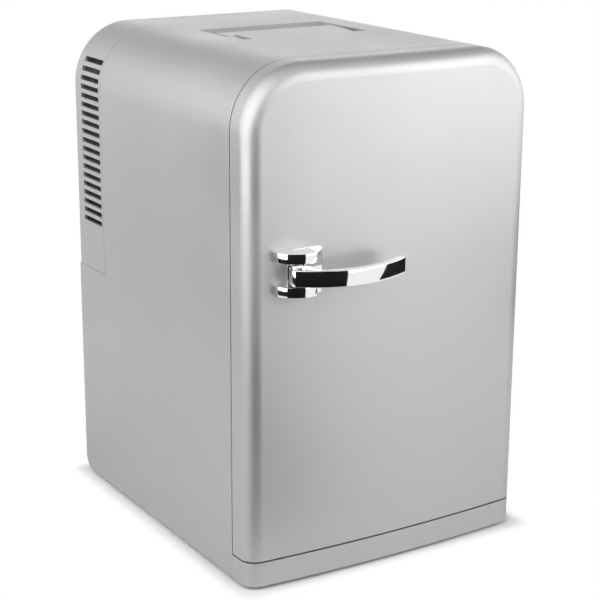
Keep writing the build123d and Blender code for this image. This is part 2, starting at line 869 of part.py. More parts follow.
# Mains inlet: two-pin socket set in the rear cover from inside
inlet_front_y = rear_y - inlet_depth
socket_floor_y = rear_y - socket_depth
flange_front_y = rear_y - shell_wall - inlet_flange_thickness - fit_gap
pin_run = socket_floor_y + inlet_pin_length - (inlet_front_y - inlet_pin_tail)
with BuildPart() as mains_inlet:
    with BuildSketch(plane_at_y(inlet_front_y)):
        with Locations((mains_inlet_x, inlet_z)):
            Rectangle(mains_inlet_width, mains_inlet_height)
    extrude(amount=-inlet_depth)
    with BuildSketch(plane_at_y(flange_front_y)):
        with Locations((mains_inlet_x, inlet_z)):
            Rectangle(mains_inlet_width + 2 * inlet_flange, mains_inlet_height + 2 * inlet_flange)
    extrude(amount=-inlet_flange_thickness)
    with BuildSketch(plane_at_y(socket_floor_y)):
        with Locations((mains_inlet_x, inlet_z)):
            SlotOverall(mains_inlet_width - 2 * socket_wall, mains_inlet_height - 2 * socket_wall)
    extrude(amount=-socket_depth, mode=Mode.SUBTRACT)
    with BuildSketch(plane_at_y(inlet_front_y)):
        with Locations((mains_inlet_x, inlet_z)):
            with GridLocations(mains_pin_spacing, 1, 2, 1):
                Circle(mains_pin_radius)
    extrude(amount=-inlet_depth, mode=Mode.SUBTRACT)
save(mains_inlet, "mains_inlet")

with BuildPart() as mains_inlet_pins:
    with BuildSketch(plane_at_y(inlet_front_y - inlet_pin_tail)):
        with Locations((mains_inlet_x, inlet_z)):
            with GridLocations(mains_pin_spacing, 1, 2, 1):
                Circle(mains_pin_radius)
    extrude(amount=-pin_run)
save(mains_inlet_pins, "mains_inlet_pins")

# Low voltage inlet: round socket for a vehicle lead, set in the rear cover
with BuildPart() as low_volt_inlet:
    with BuildSketch(plane_at_y(inlet_front_y)):
        with Locations((low_volt_inlet_x, inlet_z)):
            Circle(low_volt_inlet_radius)
    extrude(amount=-inlet_depth)
    with BuildSketch(plane_at_y(flange_front_y)):
        with Locations((low_volt_inlet_x, inlet_z)):
            Circle(low_volt_inlet_radius + inlet_flange)
    extrude(amount=-inlet_flange_thickness)
    with BuildSketch(plane_at_y(socket_floor_y)):
        with Locations((low_volt_inlet_x, inlet_z)):
            Circle(low_volt_inlet_radius - low_volt_wall)
    extrude(amount=-socket_depth, mode=Mode.SUBTRACT)
    with BuildSketch(plane_at_y(inlet_front_y)):
        with Locations((low_volt_inlet_x, inlet_z)):
            Circle(low_volt_pin_radius)
    extrude(amount=-inlet_depth, mode=Mode.SUBTRACT)
save(low_volt_inlet, "low_volt_inlet")

with BuildPart() as low_volt_pin:
    with BuildSketch(plane_at_y(inlet_front_y - inlet_pin_tail)):
        with Locations((low_volt_inlet_x, inlet_z)):
            Circle(low_volt_pin_radius)
    extrude(amount=-pin_run)
save(low_volt_pin, "low_volt_pin")

# Mode switch: frame and rocker that choose cooling, off or warming
switch_front_y = rear_y - switch_depth
rocker_width = switch_width - 2 * switch_wall - 2 * small_gap
rocker_half = switch_height / 2 - switch_wall - rocker_end_gap
rocker_pivot_y = rear_y - rocker_pivot_depth
with BuildPart() as switch_frame:
    with BuildSketch(plane_at_y(switch_front_y)):
        with Locations((mode_switch_x, inlet_z)):
            Rectangle(switch_width, switch_height)
    extrude(amount=-switch_depth)
    with BuildSketch(plane_at_y(flange_front_y)):
        with Locations((mode_switch_x, inlet_z)):
            Rectangle(switch_width + 2 * inlet_flange, switch_height + 2 * inlet_flange)
    extrude(amount=-inlet_flange_thickness)
    with BuildSketch(plane_at_y(switch_front_y + switch_wall)):
        with Locations((mode_switch_x, inlet_z)):
            Rectangle(switch_width - 2 * switch_wall, switch_height - 2 * switch_wall)
    extrude(amount=-switch_depth, mode=Mode.SUBTRACT)
    with BuildSketch(Plane.YZ.offset(mode_switch_x - switch_width / 2)):
        with Locations((rocker_pivot_y, inlet_z)):
            Circle(rocker_pin_radius)
    extrude(amount=switch_width)
save(switch_frame, "switch_frame")

with BuildPart() as switch_rocker:
    with BuildSketch(Plane.YZ.offset(mode_switch_x - rocker_width / 2)):
        with BuildLine():
            end_y = rear_y - rocker_end_depth
            upper_end = (end_y, inlet_z + rocker_half)
            lower_end = (end_y, inlet_z - rocker_half)
            Polyline(
                upper_end,
                (rocker_pivot_y - rocker_shoulder, inlet_z + rocker_half / 2),
                (rocker_pivot_y - rocker_keel, inlet_z),
                (rocker_pivot_y - rocker_shoulder, inlet_z - rocker_half / 2),
                lower_end,
            )
            ThreePointArc(lower_end, (end_y - rocker_dish, inlet_z), upper_end)
        make_face()
        with Locations((rocker_pivot_y, inlet_z)):
            Circle(rocker_pin_radius + running_gap, mode=Mode.SUBTRACT)
    extrude(amount=rocker_width)
save(switch_rocker, "switch_rocker")

# Carry handle: bail that lies flush in the recess and flips up on two pins
bail_half = tray_width / 2 - channel_width + bail_inner_gap + bail_arm_width
bail_grip_front = tray_front_y + island_length + bail_grip_gap
bail_grip_rear = bail_grip_front + bail_grip_width
with BuildPart() as carry_handle:
    with BuildSketch(Plane.YZ.offset(-bail_half)):
        with BuildLine():
            bail_end_top = (bail_pivot_y, bail_pivot_z + bail_end_radius)
            Polyline(
                (bail_pivot_y, bail_bottom_z),
                (bail_grip_rear, bail_bottom_z),
                (bail_grip_rear, bail_top_z),
                (bail_grip_front, bail_top_z),
                bail_end_top,
            )
            ThreePointArc(
                bail_end_top,
                (bail_pivot_y - bail_end_radius, bail_pivot_z),
                (bail_pivot_y, bail_bottom_z),
            )
        make_face()
    extrude(amount=2 * bail_half)
    with BuildSketch(Plane.XY.offset(bail_bottom_z)):
        with Locations((0, bail_grip_front)):
            Rectangle(
                2 * (bail_half - bail_arm_width),
                bail_grip_front - tray_front_y + bail_thickness,
                align=(Align.CENTER, Align.MAX),
            )
    extrude(amount=bail_thickness, mode=Mode.SUBTRACT)
    with BuildSketch(Plane.YZ.offset(-bail_half)):
        with Locations((bail_pivot_y, bail_pivot_z)):
            Circle(bail_pin_radius + running_gap)
    extrude(amount=2 * bail_half, mode=Mode.SUBTRACT)
    grip_edges = carry_handle.edges().filter_by(Axis.X).group_by(Axis.Y)[-1]
    fillet(grip_edges, bail_round)
save(carry_handle, "carry_handle")

with BuildPart() as carry_handle_pins:
    for side in (-1, 1):
        pin_end_x = side * (tray_width / 2 + shell_wall)
        pin_inner_x = side * (bail_half - bail_arm_width)
        with BuildSketch(Plane.YZ.offset(min(pin_end_x, pin_inner_x))):
            with Locations((bail_pivot_y, bail_pivot_z)):
                Circle(bail_pin_radius)
        extrude(amount=abs(pin_end_x - pin_inner_x))
save(carry_handle_pins, "carry_handle_pins")

# Door hinges: two surface butt hinges on the right side, each with two leaves and a pin
knuckle = (hinge_length - 2 * hinge_knuckle_gap) / 3
hinge_screw_face = half_width + hinge_leaf_thickness
side_plane = Plane.YZ.offset(hinge_screw_face)


def hinge_leaf(middle, rear_edge, front_edge, spans, gap_spans, screw_y):
    """One hinge leaf: a plate on the side with barrel knuckles over the given spans."""
    with BuildPart() as leaf:
        with BuildSketch(Plane.YZ.offset(half_width)):
            with Locations(((rear_edge + front_edge) / 2, middle)):
                Rectangle(abs(rear_edge - front_edge), hinge_length)
            for low, high in gap_spans:
                with Locations((seam_y, middle + (low + high) / 2)):
                    Rectangle(
                        2 * (hinge_barrel_radius + 2 * small_gap),
                        high - low + 2 * hinge_knuckle_gap,
                        mode=Mode.SUBTRACT,
                    )
            with Locations(*[(screw_y, middle + side * hinge_screw_spread / 2) for side in (-1, 1)]):
                Circle(hinge_screw_radius, mode=Mode.SUBTRACT)
        extrude(amount=hinge_leaf_thickness)
        for low, high in spans:
            with BuildSketch(Plane.XY.offset(middle + low)):
                with Locations((hinge_x, seam_y)):
                    Circle(hinge_barrel_radius)
                    Circle(hinge_pin_radius + running_gap, mode=Mode.SUBTRACT)
            extrude(amount=high - low)
    return leaf


outer_spans = [
    (-hinge_length / 2, -hinge_length / 2 + knuckle),
    (hinge_length / 2 - knuckle, hinge_length / 2),
]
middle_span = [(-knuckle / 2, knuckle / 2)]
for place, middle in zip(("lower", "upper"), hinge_heights):
    cabinet_leaf = hinge_leaf(
        middle, seam_y + hinge_leaf_cabinet, seam_y, outer_spans, middle_span, cabinet_screw_y
    )
    save(cabinet_leaf, f"hinge_leaf_cabinet_{place}")
    door_leaf = hinge_leaf(middle, seam_y, seam_y - hinge_leaf_door, middle_span, outer_spans, door_screw_y)
    save(door_leaf, f"hinge_leaf_door_{place}")
    with BuildPart() as hinge_pin:
        with BuildSketch(Plane.XY.offset(middle - hinge_length / 2)):
            with Locations((hinge_x, seam_y)):
                Circle(hinge_pin_radius)
        extrude(amount=hinge_length)
        with BuildSketch(Plane.XY.offset(middle + hinge_length / 2)):
            with Locations((hinge_x, seam_y)):
                Circle(hinge_pin_head)
        extrude(amount=hinge_head_height)
    save(hinge_pin, f"hinge_pin_{place}")

hinge_screw_length = hinge_leaf_thickness + shell_wall
cabinet_hinge_screws = pan_screw(
    side_plane,
    [(cabinet_screw_y, z) for z in hinge_screw_heights],
    hinge_screw_radius,
    hinge_screw_head,
    hinge_screw_length,
    hinge_head_height,
)
save(cabinet_hinge_screws, "hinge_screws_cabinet")
door_hinge_screws = pan_screw(
    side_plane,
    [(door_screw_y, z) for z in hinge_screw_heights],
    hinge_screw_radius,
    hinge_screw_head,
    hinge_screw_length,
    hinge_head_height,
)
save(door_hinge_screws, "hinge_screws_door")

# Door shell: bowed outer skin with the openings for the handle
pivot_y = front_at(pivot_x) - pivot_proud
plate_left = pivot_x - plate_left_share
plate_middle = plate_left + plate_width / 2
plate_front_y = front_at(pivot_x) - plate_thickness
tail_tip_y = pivot_y + tail_length
slide_front_y = tail_tip_y - tail_tip_radius - small_gap
slide_back_y = slide_front_y + slide_thickness
slide_left = finger_left
slide_right = pivot_x + slide_tail
slide_end_y = keeper_back_y + keeper_gap + nose_depth
slot_reach = (slide_front_y - pivot_y) * tan(radians(lever_pull)) + tail_swing_gap
handle_screw_x = pivot_x - handle_screw_side
lug_middle_z = handle_z + lug_rise
handle_screw_points = [(handle_screw_x, lug_middle_z + side * handle_screw_spread / 2) for side in (-1, 1)]


def tail_window():
    """Slot for the lever's tail, with room for its swing."""
    low_x = pivot_x - tail_neck / 2 - tail_rest_gap
    high_x = pivot_x + tail_neck / 2 + slot_reach
    with Locations(((low_x + high_x) / 2, handle_z)):
        Rectangle(high_x - low_x, tail_height + 2 * tail_swing_gap)


door_outer = door_block(0, door_back_y)
door_core = door_block(shell_wall, door_back_y + shell_wall)
with BuildPart() as door_shell:
    add(door_outer)
    add(door_core, mode=Mode.SUBTRACT)
    with BuildSketch(plane_at_y(slide_front_y)):
        tail_window()
        with Locations(*handle_screw_points):
            Circle(handle_screw_radius)
    extrude(amount=slide_front_y - front_y + shell_wall, mode=Mode.SUBTRACT)
    with BuildSketch(Plane.YZ.offset(half_width - shell_wall)):
        with Locations(*[(door_screw_y, z) for z in hinge_screw_heights]):
            Circle(hinge_screw_radius)
    extrude(amount=shell_wall, mode=Mode.SUBTRACT)
save(door_shell, "door_shell")

# Door liner: inner panel with the seal groove and a plug that enters the compartment
liner_front_y = door_back_y - shell_wall
groove_floor_y = door_back_y - groove_depth
gasket_outer = gasket_clear + gasket_width
plug_rear_y = frame_back_y - frame_depth + plug_reach
plug_width = cavity_width - 2 * plug_margin
plug_height = cavity_height - 2 * plug_margin


def plug_outline(shrink):
    """Front view of the plug, shrunk by an amount on every side."""
    with Locations((0, cavity_middle)):
        RectangleRounded(plug_width - 2 * shrink, plug_height - 2 * shrink, plug_round - shrink)


with BuildPart() as door_liner:
    with BuildSketch(plane_at_y(door_back_y)):
        upright_outline(shell_wall + fit_gap, door_bottom + shell_wall + fit_gap)
    extrude(amount=shell_wall)
    with BuildSketch(plane_at_y(door_back_y)):
        opening_outline(gasket_outer + groove_wall)
    extrude(amount=groove_depth + groove_wall)
    with BuildSketch(plane_at_y(door_back_y)):
        opening_outline(gasket_outer)
    extrude(amount=groove_depth, mode=Mode.SUBTRACT)
    with BuildSketch(plane_at_y(plug_rear_y)):
        plug_outline(0)
    extrude(amount=plug_rear_y - groove_floor_y)
    with BuildSketch(plane_at_y(plug_rear_y - shell_wall)):
        plug_outline(shell_wall)
    extrude(amount=plug_rear_y - groove_floor_y + groove_wall, mode=Mode.SUBTRACT)
    with BuildSketch(plane_at_y(door_back_y)):
        hook_slot()
    extrude(amount=shell_wall, mode=Mode.SUBTRACT)
save(door_liner, "door_liner")

# Door gasket: soft seal ring seated in the liner's groove
with BuildPart() as door_gasket:
    with BuildSketch(plane_at_y(groove_floor_y)):
        opening_outline(gasket_outer - fit_gap)
        with Locations((0, cavity_middle)):
            RectangleRounded(
                cavity_width + 2 * gasket_clear,
                cavity_height + 2 * gasket_clear,
                opening_round + gasket_clear,
                mode=Mode.SUBTRACT,
            )
    extrude(amount=groove_floor_y - (cabinet_front_y - gasket_squeeze_gap))
save(door_gasket, "door_gasket")

# Latch housing: block inside the door that guides the latch slide
housing_left_x = hook_slot_right + small_gap
housing_right_x = pivot_x + housing_right
housing_front_y = front_at(housing_left_x) + shell_wall + 2 * small_gap
housing_back_y = slide_back_y + slide_gap + housing_back
spring_seat_x = slide_right + spring_length
with BuildPart() as latch_housing:
    with BuildSketch(plane_at_y(housing_back_y)):
        with Locations((housing_left_x, handle_z)):
            Rectangle(
                housing_right_x - housing_left_x, housing_height, align=(Align.MIN, Align.CENTER)
            )
        with Locations(*handle_screw_points):
            Circle(handle_screw_radius, mode=Mode.SUBTRACT)
    extrude(amount=housing_back_y - housing_front_y)
    with BuildSketch(plane_at_y(slide_back_y + slide_gap)):
        with Locations((housing_left_x, handle_z)):
            Rectangle(
                spring_seat_x - housing_left_x,
                slide_height + 2 * slide_gap,
                align=(Align.MIN, Align.CENTER),
            )
    extrude(amount=slide_thickness + 2 * slide_gap, mode=Mode.SUBTRACT)
    with BuildSketch(plane_at_y(slide_front_y)):
        tail_window()
    extrude(amount=slide_front_y - housing_front_y, mode=Mode.SUBTRACT)
save(latch_housing, "latch_housing")

# Latch slide: bar with a hooked finger that the lever's tail draws back
notch_size = 2 * (tail_tip_radius + notch_gap)
slide_block_length = slide_right - (pivot_x - slide_arm_start)
arm_front_y = slide_back_y - slide_arm_thickness
with BuildPart() as latch_slide:
    with BuildSketch(Plane.XY.offset(handle_z - slide_height / 2)):
        with Locations((slide_right, slide_back_y)):
            Rectangle(slide_block_length, slide_thickness, align=(Align.MAX, Align.MAX))
            Rectangle(slide_right - slide_left, slide_arm_thickness, align=(Align.MAX, Align.MAX))
        with Locations((slide_left, slide_end_y)):
            Rectangle(finger_width, slide_end_y - arm_front_y, align=(Align.MIN, Align.MAX))
            Rectangle(nose_length, nose_depth, align=(Align.MAX, Align.MAX))
        with Locations((pivot_x, slide_front_y)):
            Rectangle(notch_size, notch_size, align=(Align.CENTER, Align.MIN), mode=Mode.SUBTRACT)
    extrude(amount=slide_height)
save(latch_slide, "latch_slide")

# Latch spring: coil that pushes the slide back to the locked place
spring_run = spring_length - 2 * spring_wire
with BuildPart() as latch_spring:
    with BuildLine():
        coil = Helix(
            spring_run / spring_turns,
            spring_run,
            spring_radius,
            center=(slide_right + spring_wire, (slide_front_y + slide_back_y) / 2, handle_z),
            direction=(1, 0, 0),
        )
    with BuildSketch(Plane(origin=coil @ 0, z_dir=coil % 0)):
        Circle(spring_wire)
    sweep(is_frenet=True)
save(latch_spring, "latch_spring")

# Door foam: insulation inside the door, with room for the latch
foam_back_y = liner_front_y - fit_gap
tray_back_y = groove_floor_y - groove_wall - fit_gap
screw_room = screw_head_height + small_gap
door_foam_block = door_block(shell_wall + fit_gap, foam_back_y)
with BuildPart() as door_foam:
    add(door_foam_block)
    with BuildSketch(plane_at_y(foam_back_y)):
        opening_outline(gasket_outer + groove_wall + fit_gap)
    extrude(amount=foam_back_y - tray_back_y, mode=Mode.SUBTRACT)
    with BuildSketch(plane_at_y(tray_back_y)):
        plug_outline(shell_wall + fit_gap)
    extrude(amount=tray_back_y - (plug_rear_y - shell_wall - fit_gap))
    with BuildSketch(plane_at_y(housing_back_y + screw_room)):
        with Locations((housing_left_x - small_gap, handle_z)):
            Rectangle(
                housing_right_x - housing_left_x + 2 * small_gap,
                housing_height + 2 * small_gap,
                align=(Align.MIN, Align.CENTER),
            )
    extrude(amount=housing_back_y + screw_room - front_y, mode=Mode.SUBTRACT)
    with BuildSketch(plane_at_y(foam_back_y)):
        with Locations((-half_width, handle_z)):
            Rectangle(
                hook_slot_right + half_width + small_gap,
                slide_height + 2 * slide_gap,
                align=(Align.MIN, Align.CENTER),
            )
    extrude(amount=foam_back_y - (slide_front_y - slide_gap), mode=Mode.SUBTRACT)
save(door_foam, "door_foam")

# Door bins: two open bins on the inside of the door
bin_heights = (cavity_bottom + bin_lower_rise, cavity_top - bin_upper_drop)
for place, bin_z in zip(("lower", "upper"), bin_heights):
    with BuildPart() as door_bin:
        with BuildSketch(Plane.XY.offset(bin_z)):
            with Locations((0, plug_rear_y)):
                Rectangle(bin_width, bin_depth, align=(Align.CENTER, Align.MIN))
            fillet(vertices().group_by(Axis.Y)[-1], bin_round)
        extrude(amount=bin_height)
        with BuildSketch(Plane.XY.offset(bin_z + bin_wall)):
            with Locations((0, plug_rear_y + bin_wall)):
                Rectangle(
                    bin_width - 2 * bin_wall, bin_depth - 2 * bin_wall, align=(Align.CENTER, Align.MIN)
                )
            fillet(vertices().group_by(Axis.Y)[-1], bin_round - bin_wall)
        extrude(amount=bin_height, mode=Mode.SUBTRACT)
    save(door_bin, f"door_bin_{place}")

# Handle base: chrome plate on the door front with two lugs for the lever
lug_top = lug_gap / 2 + lug_height
pin_half = lug_top - handle_pin_inset
handle_screw_tip_y = front_at(handle_screw_x) - handle_screw_bite
with BuildPart() as handle_base:
    with BuildSketch(plane_at_y(front_side_y)):
        with Locations((plate_middle, handle_z)):
            RectangleRounded(plate_width, plate_height, plate_round)
    extrude(amount=front_side_y - plate_front_y)
    for low in (-lug_top, lug_gap / 2):
        with BuildSketch(Plane.XY.offset(lug_middle_z + low)):
            with BuildLine():
                lug_start = (pivot_x - lug_left, pivot_y + lug_left_back)
                lug_crest = (pivot_x - lug_nose_left, pivot_y - lug_nose_proud)
                lug_end = (pivot_x + lug_right, pivot_y - lug_end_proud)
                ThreePointArc(lug_start, lug_crest, lug_end)
                Polyline(
                    lug_end,
                    (pivot_x + lug_right, front_side_y),
                    (pivot_x - lug_left, front_side_y),
                    lug_start,
                )
            make_face()
        extrude(amount=lug_height)
    with BuildSketch(Plane.XY.offset(lug_middle_z - pin_half)):
        with Locations((pivot_x, pivot_y)):
            Circle(handle_pin_radius)
    extrude(amount=2 * pin_half, mode=Mode.SUBTRACT)
    add(door_outer, mode=Mode.SUBTRACT)
    with BuildSketch(plane_at_y(front_side_y)):
        tail_window()
    extrude(amount=front_side_y - plate_front_y, mode=Mode.SUBTRACT)
    with BuildSketch(plane_at_y(front_side_y)):
        with Locations(*handle_screw_points):
            Circle(handle_screw_radius)
    extrude(amount=front_side_y - handle_screw_tip_y, mode=Mode.SUBTRACT)
save(handle_base, "handle_base")

with BuildPart() as handle_pin:
    with BuildSketch(Plane.XY.offset(lug_middle_z - pin_half)):
        with Locations((pivot_x, pivot_y)):
            Circle(handle_pin_radius)
    extrude(amount=2 * pin_half)
save(handle_pin, "handle_pin")

handle_screw_length = housing_back_y - handle_screw_tip_y
handle_screws = rear_screw(
    housing_back_y, handle_screw_points, handle_screw_radius, handle_screw_head, handle_screw_length
)
save(handle_screws, "handle_screws")

# Handle lever: arched chrome grip on the pin, with a tail that reaches the latch
arch_x = pivot_x + lever_centre_x
arch_y = pivot_y + lever_centre_y


def arch_point(radius, angle):
    """Point on the lever's arch."""
    return (arch_x + radius * cos(radians(angle)), arch_y + radius * sin(radians(angle)))


lever_middle = (lever_start + lever_end) / 2
lever_inner = lever_radius - lever_thickness
with BuildPart() as handle_lever:
    with BuildSketch(Plane.XY.offset(handle_z - lever_height / 2)):
        with BuildLine():
            ThreePointArc(
                arch_point(lever_radius, lever_start),
                arch_point(lever_radius, lever_middle),
                arch_point(lever_radius, lever_end),
            )
            Line(arch_point(lever_radius, lever_end), arch_point(lever_inner, lever_end))
            ThreePointArc(
                arch_point(lever_inner, lever_end),
                arch_point(lever_inner, lever_middle),
                arch_point(lever_inner, lever_start),
            )
            Line(arch_point(lever_inner, lever_start), arch_point(lever_radius, lever_start))
        make_face()
    extrude(amount=lever_height)
    rims = handle_lever.edges().group_by(Axis.Z)
    fillet(rims[0] + rims[-1], lever_edge)
    with BuildSketch(Plane.XY.offset(handle_z - lever_height / 2)):
        with Locations((pivot_x, pivot_y)):
            Circle(knuckle_radius)
        with Locations((pivot_x, pivot_y - heel_front)):
            Rectangle(heel_length, heel_front + knuckle_radius, align=(Align.MAX, Align.MIN))
    extrude(amount=lever_height)
    with BuildSketch(Plane.XY.offset(handle_z - tail_height / 2)):
        with Locations((pivot_x, pivot_y)):
            Rectangle(tail_neck, tail_length, align=(Align.CENTER, Align.MIN))
        with Locations((pivot_x, tail_tip_y)):
            Circle(tail_tip_radius)
    extrude(amount=tail_height)
    with BuildSketch(Plane.XY.offset(handle_z - lever_height / 2)):
        with Locations((pivot_x, pivot_y)):
            Circle(handle_pin_radius + running_gap)
    extrude(amount=lever_height, mode=Mode.SUBTRACT)
save(handle_lever, "handle_lever")
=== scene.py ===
from math import atan2, cos, degrees, radians, sin, sqrt

import bmesh
import bpy
from mathutils import Matrix, Quaternion, Vector


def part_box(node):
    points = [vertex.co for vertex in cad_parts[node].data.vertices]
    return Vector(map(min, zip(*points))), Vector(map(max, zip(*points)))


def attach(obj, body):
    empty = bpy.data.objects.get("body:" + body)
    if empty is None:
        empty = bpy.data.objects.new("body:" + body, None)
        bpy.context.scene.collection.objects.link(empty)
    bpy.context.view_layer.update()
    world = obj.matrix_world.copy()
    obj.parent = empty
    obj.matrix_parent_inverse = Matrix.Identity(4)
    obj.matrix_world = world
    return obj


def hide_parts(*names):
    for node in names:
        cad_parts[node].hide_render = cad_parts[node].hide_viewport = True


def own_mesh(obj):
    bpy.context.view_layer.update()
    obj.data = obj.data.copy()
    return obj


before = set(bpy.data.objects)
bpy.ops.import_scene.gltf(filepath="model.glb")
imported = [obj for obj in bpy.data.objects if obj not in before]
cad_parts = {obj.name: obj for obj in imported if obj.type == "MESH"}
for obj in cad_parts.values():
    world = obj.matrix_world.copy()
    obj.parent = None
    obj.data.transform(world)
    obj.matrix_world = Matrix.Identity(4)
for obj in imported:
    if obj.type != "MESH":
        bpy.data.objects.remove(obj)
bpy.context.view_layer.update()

# Cabinet shell: the moulded outer sleeve of the fridge, with a rounded top, a recess for the carry handle and
# bosses for the rear cover. It is injection-moulded styrene, sprayed with a satin silver paint.

def add_node(tree, kind, values=None, **settings):
    """Add a shader node, set its options, and fill its sockets with values or links."""
    node = tree.nodes.new(kind)
    for option, setting in settings.items():
        setattr(node, option, setting)
    for socket, value in (values or {}).items():
        if isinstance(value, bpy.types.NodeSocket):
            tree.links.new(value, node.inputs[socket])
        else:
            node.inputs[socket].default_value = value
    return node


def new_group(name, inputs, outputs):
    """Start a shader node group with named sockets, and return it with its two end nodes."""
    group = bpy.data.node_groups.new(name, "ShaderNodeTree")
    for socket, kind in inputs.items():
        group.interface.new_socket(socket, in_out="INPUT", socket_type="NodeSocket" + kind)
    for socket, kind in outputs.items():
        group.interface.new_socket(socket, in_out="OUTPUT", socket_type="NodeSocket" + kind)
    return group, group.nodes.new("NodeGroupInput").outputs, group.nodes.new("NodeGroupOutput").inputs


def spread_about(tree, signal, middle, reach):
    """Turn a noise signal into a value that wanders a given reach either side of a middle value."""
    low = add_node(tree, "ShaderNodeMath", {0: middle, 1: reach}, operation="SUBTRACT").outputs[0]
    high = add_node(tree, "ShaderNodeMath", {0: middle, 1: reach}, operation="ADD").outputs[0]
    noise_low, noise_high = 0.3, 0.7
    ends = {"Value": signal, "From Min": noise_low, "From Max": noise_high, "To Min": low, "To Max": high}
    return add_node(tree, "ShaderNodeMapRange", ends).outputs["Result"]


surface_grain, given, result = new_group(
    "surface_grain",
    {"Colour": "Color", "Tone": "Float", "Roughness": "Float", "Polish": "Float", "Grain": "Vector"},
    {"Colour": "Color", "Roughness": "Float", "Height": "Float"},
)
broad_scale, broad_share = 13.0, 0.4
place = surface_grain.nodes.new("ShaderNodeTexCoord").outputs["Object"]
stretched = add_node(surface_grain, "ShaderNodeVectorMath", {0: place, 1: given["Grain"]}, operation="MULTIPLY")
fine = add_node(surface_grain, "ShaderNodeTexNoise", {"Vector": stretched.outputs[0], "Scale": 1.0, "Detail": 3.0})
broad = add_node(surface_grain, "ShaderNodeTexNoise", {"Vector": place, "Scale": broad_scale, "Detail": 4.0})
blend = add_node(
    surface_grain, "ShaderNodeMix", {"Factor": broad_share, "A": fine.outputs[0], "B": broad.outputs[0]}
)
shade = spread_about(surface_grain, blend.outputs[0], 1.0, given["Tone"])
tinted = add_node(surface_grain, "ShaderNodeVectorMath", {0: given["Colour"], "Scale": shade}, operation="SCALE")
surface_grain.links.new(tinted.outputs[0], result["Colour"])
surface_grain.links.new(
    spread_about(surface_grain, broad.outputs[0], given["Roughness"], given["Polish"]), result["Roughness"]
)
surface_grain.links.new(fine.outputs[0], result["Height"])


def grained_finish(name, colour, roughness, grain, tone=0.03, polish=0.05, bump=0.00002, **sockets):
    """Material whose colour and gloss wander a little over a fine grain, which may be drawn out along one way."""
    material = bpy.data.materials.new(name)
    material.use_nodes = True
    tree = material.node_tree
    shader = tree.nodes["Principled BSDF"]
    surface = add_node(tree, "ShaderNodeGroup", node_tree=surface_grain)
    for socket, value in zip(
        ("Colour", "Tone", "Roughness", "Polish", "Grain"), ((*colour, 1.0), tone, roughness, polish, grain)
    ):
        surface.inputs[socket].default_value = value
    relief = add_node(tree, "ShaderNodeBump", {"Height": surface.outputs["Height"], "Distance": bump})
    tree.links.new(surface.outputs["Colour"], shader.inputs["Base Color"])
    tree.links.new(surface.outputs["Roughness"], shader.inputs["Roughness"])
    tree.links.new(relief.outputs[0], shader.inputs["Normal"])
    for socket, value in sockets.items():
        shader.inputs[socket.replace("_", " ")].default_value = value
    return material


def give_finish(material, *nodes):
    """Put one material on carried-over solids."""
    for node in nodes:
        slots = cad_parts[node].data.materials
        slots.clear()
        slots.append(material)


silver_paint = grained_finish("silver_paint", (0.503, 0.50, 0.502), 0.45, (900.0,) * 3, tone=0.025, Metallic=0.7)
give_finish(silver_paint, "cabinet_shell")

# Front frame, inner liner and shelf: white styrene, vacuum-formed for the liner and moulded for the frame and the
# slatted shelf. The liner clips behind the frame, and the shelf slides onto a pair of ledges.
white_styrene = grained_finish("white_styrene", (0.83, 0.84, 0.84), 0.34, (500.0,) * 3, tone=0.012)
give_finish(white_styrene, "front_frame", "inner_liner", "cabinet_shelf")

# Insulation: rigid foam poured between the liner and the shell. Where its skin is cut, small closed cells show as
# pits, which darken its straw colour a little.
cell_foam = grained_finish("cell_foam", (0.87, 0.79, 0.58), 0.85, (420.0,) * 3, tone=0.06)
foam_tree = cell_foam.node_tree
foam_place = foam_tree.nodes.new("ShaderNodeTexCoord").outputs["Object"]
cell_scale, pit_depth = 700.0, 0.0006
cells = add_node(foam_tree, "ShaderNodeTexVoronoi", {"Vector": foam_place, "Scale": cell_scale}).outputs["Distance"]
pits = add_node(foam_tree, "ShaderNodeBump", {"Height": cells, "Distance": pit_depth, "Strength": 0.8})
foam_tree.links.new(pits.outputs[0], foam_tree.nodes["Principled BSDF"].inputs["Normal"])
give_finish(cell_foam, "foam_insulation")

# Feet: four round pads of soft black rubber, which keep the fridge from sliding. They are moulded with a dished
# underside, and glued to the base near its corners.

def dress_piece(form, name, finish, body, slot, *nodes, sharp=35.0):
    """Turn a modelled form into a piece with its finish, which rides on a body and stands for its solids."""
    bmesh.ops.recalc_face_normals(form, faces=form.faces)
    mesh = bpy.data.meshes.new(name)
    form.to_mesh(mesh)
    form.free()
    mesh.shade_smooth()
    mesh.set_sharp_from_angle(angle=radians(sharp))
    mesh.materials.append(finish)
    piece = bpy.data.objects.new(name, mesh)
    bpy.context.scene.collection.objects.link(piece)
    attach(piece, body)
    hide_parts(*nodes)
    return piece


def turn_profile(form, profile, centre, steps):
    """Turn a line of (radius, height) points a full round about an upright axis, and close it at the axis."""
    line = [form.verts.new(centre + Vector((radius, 0.0, height))) for radius, height in profile]
    edges = [form.edges.new(pair) for pair in zip(line, line[1:])]
    bmesh.ops.spin(
        form, geom=line + edges, cent=centre, axis=(0.0, 0.0, 1.0), angle=radians(360.0), steps=steps, use_merge=True
    )
    bmesh.ops.remove_doubles(form, verts=form.verts, dist=1e-6)


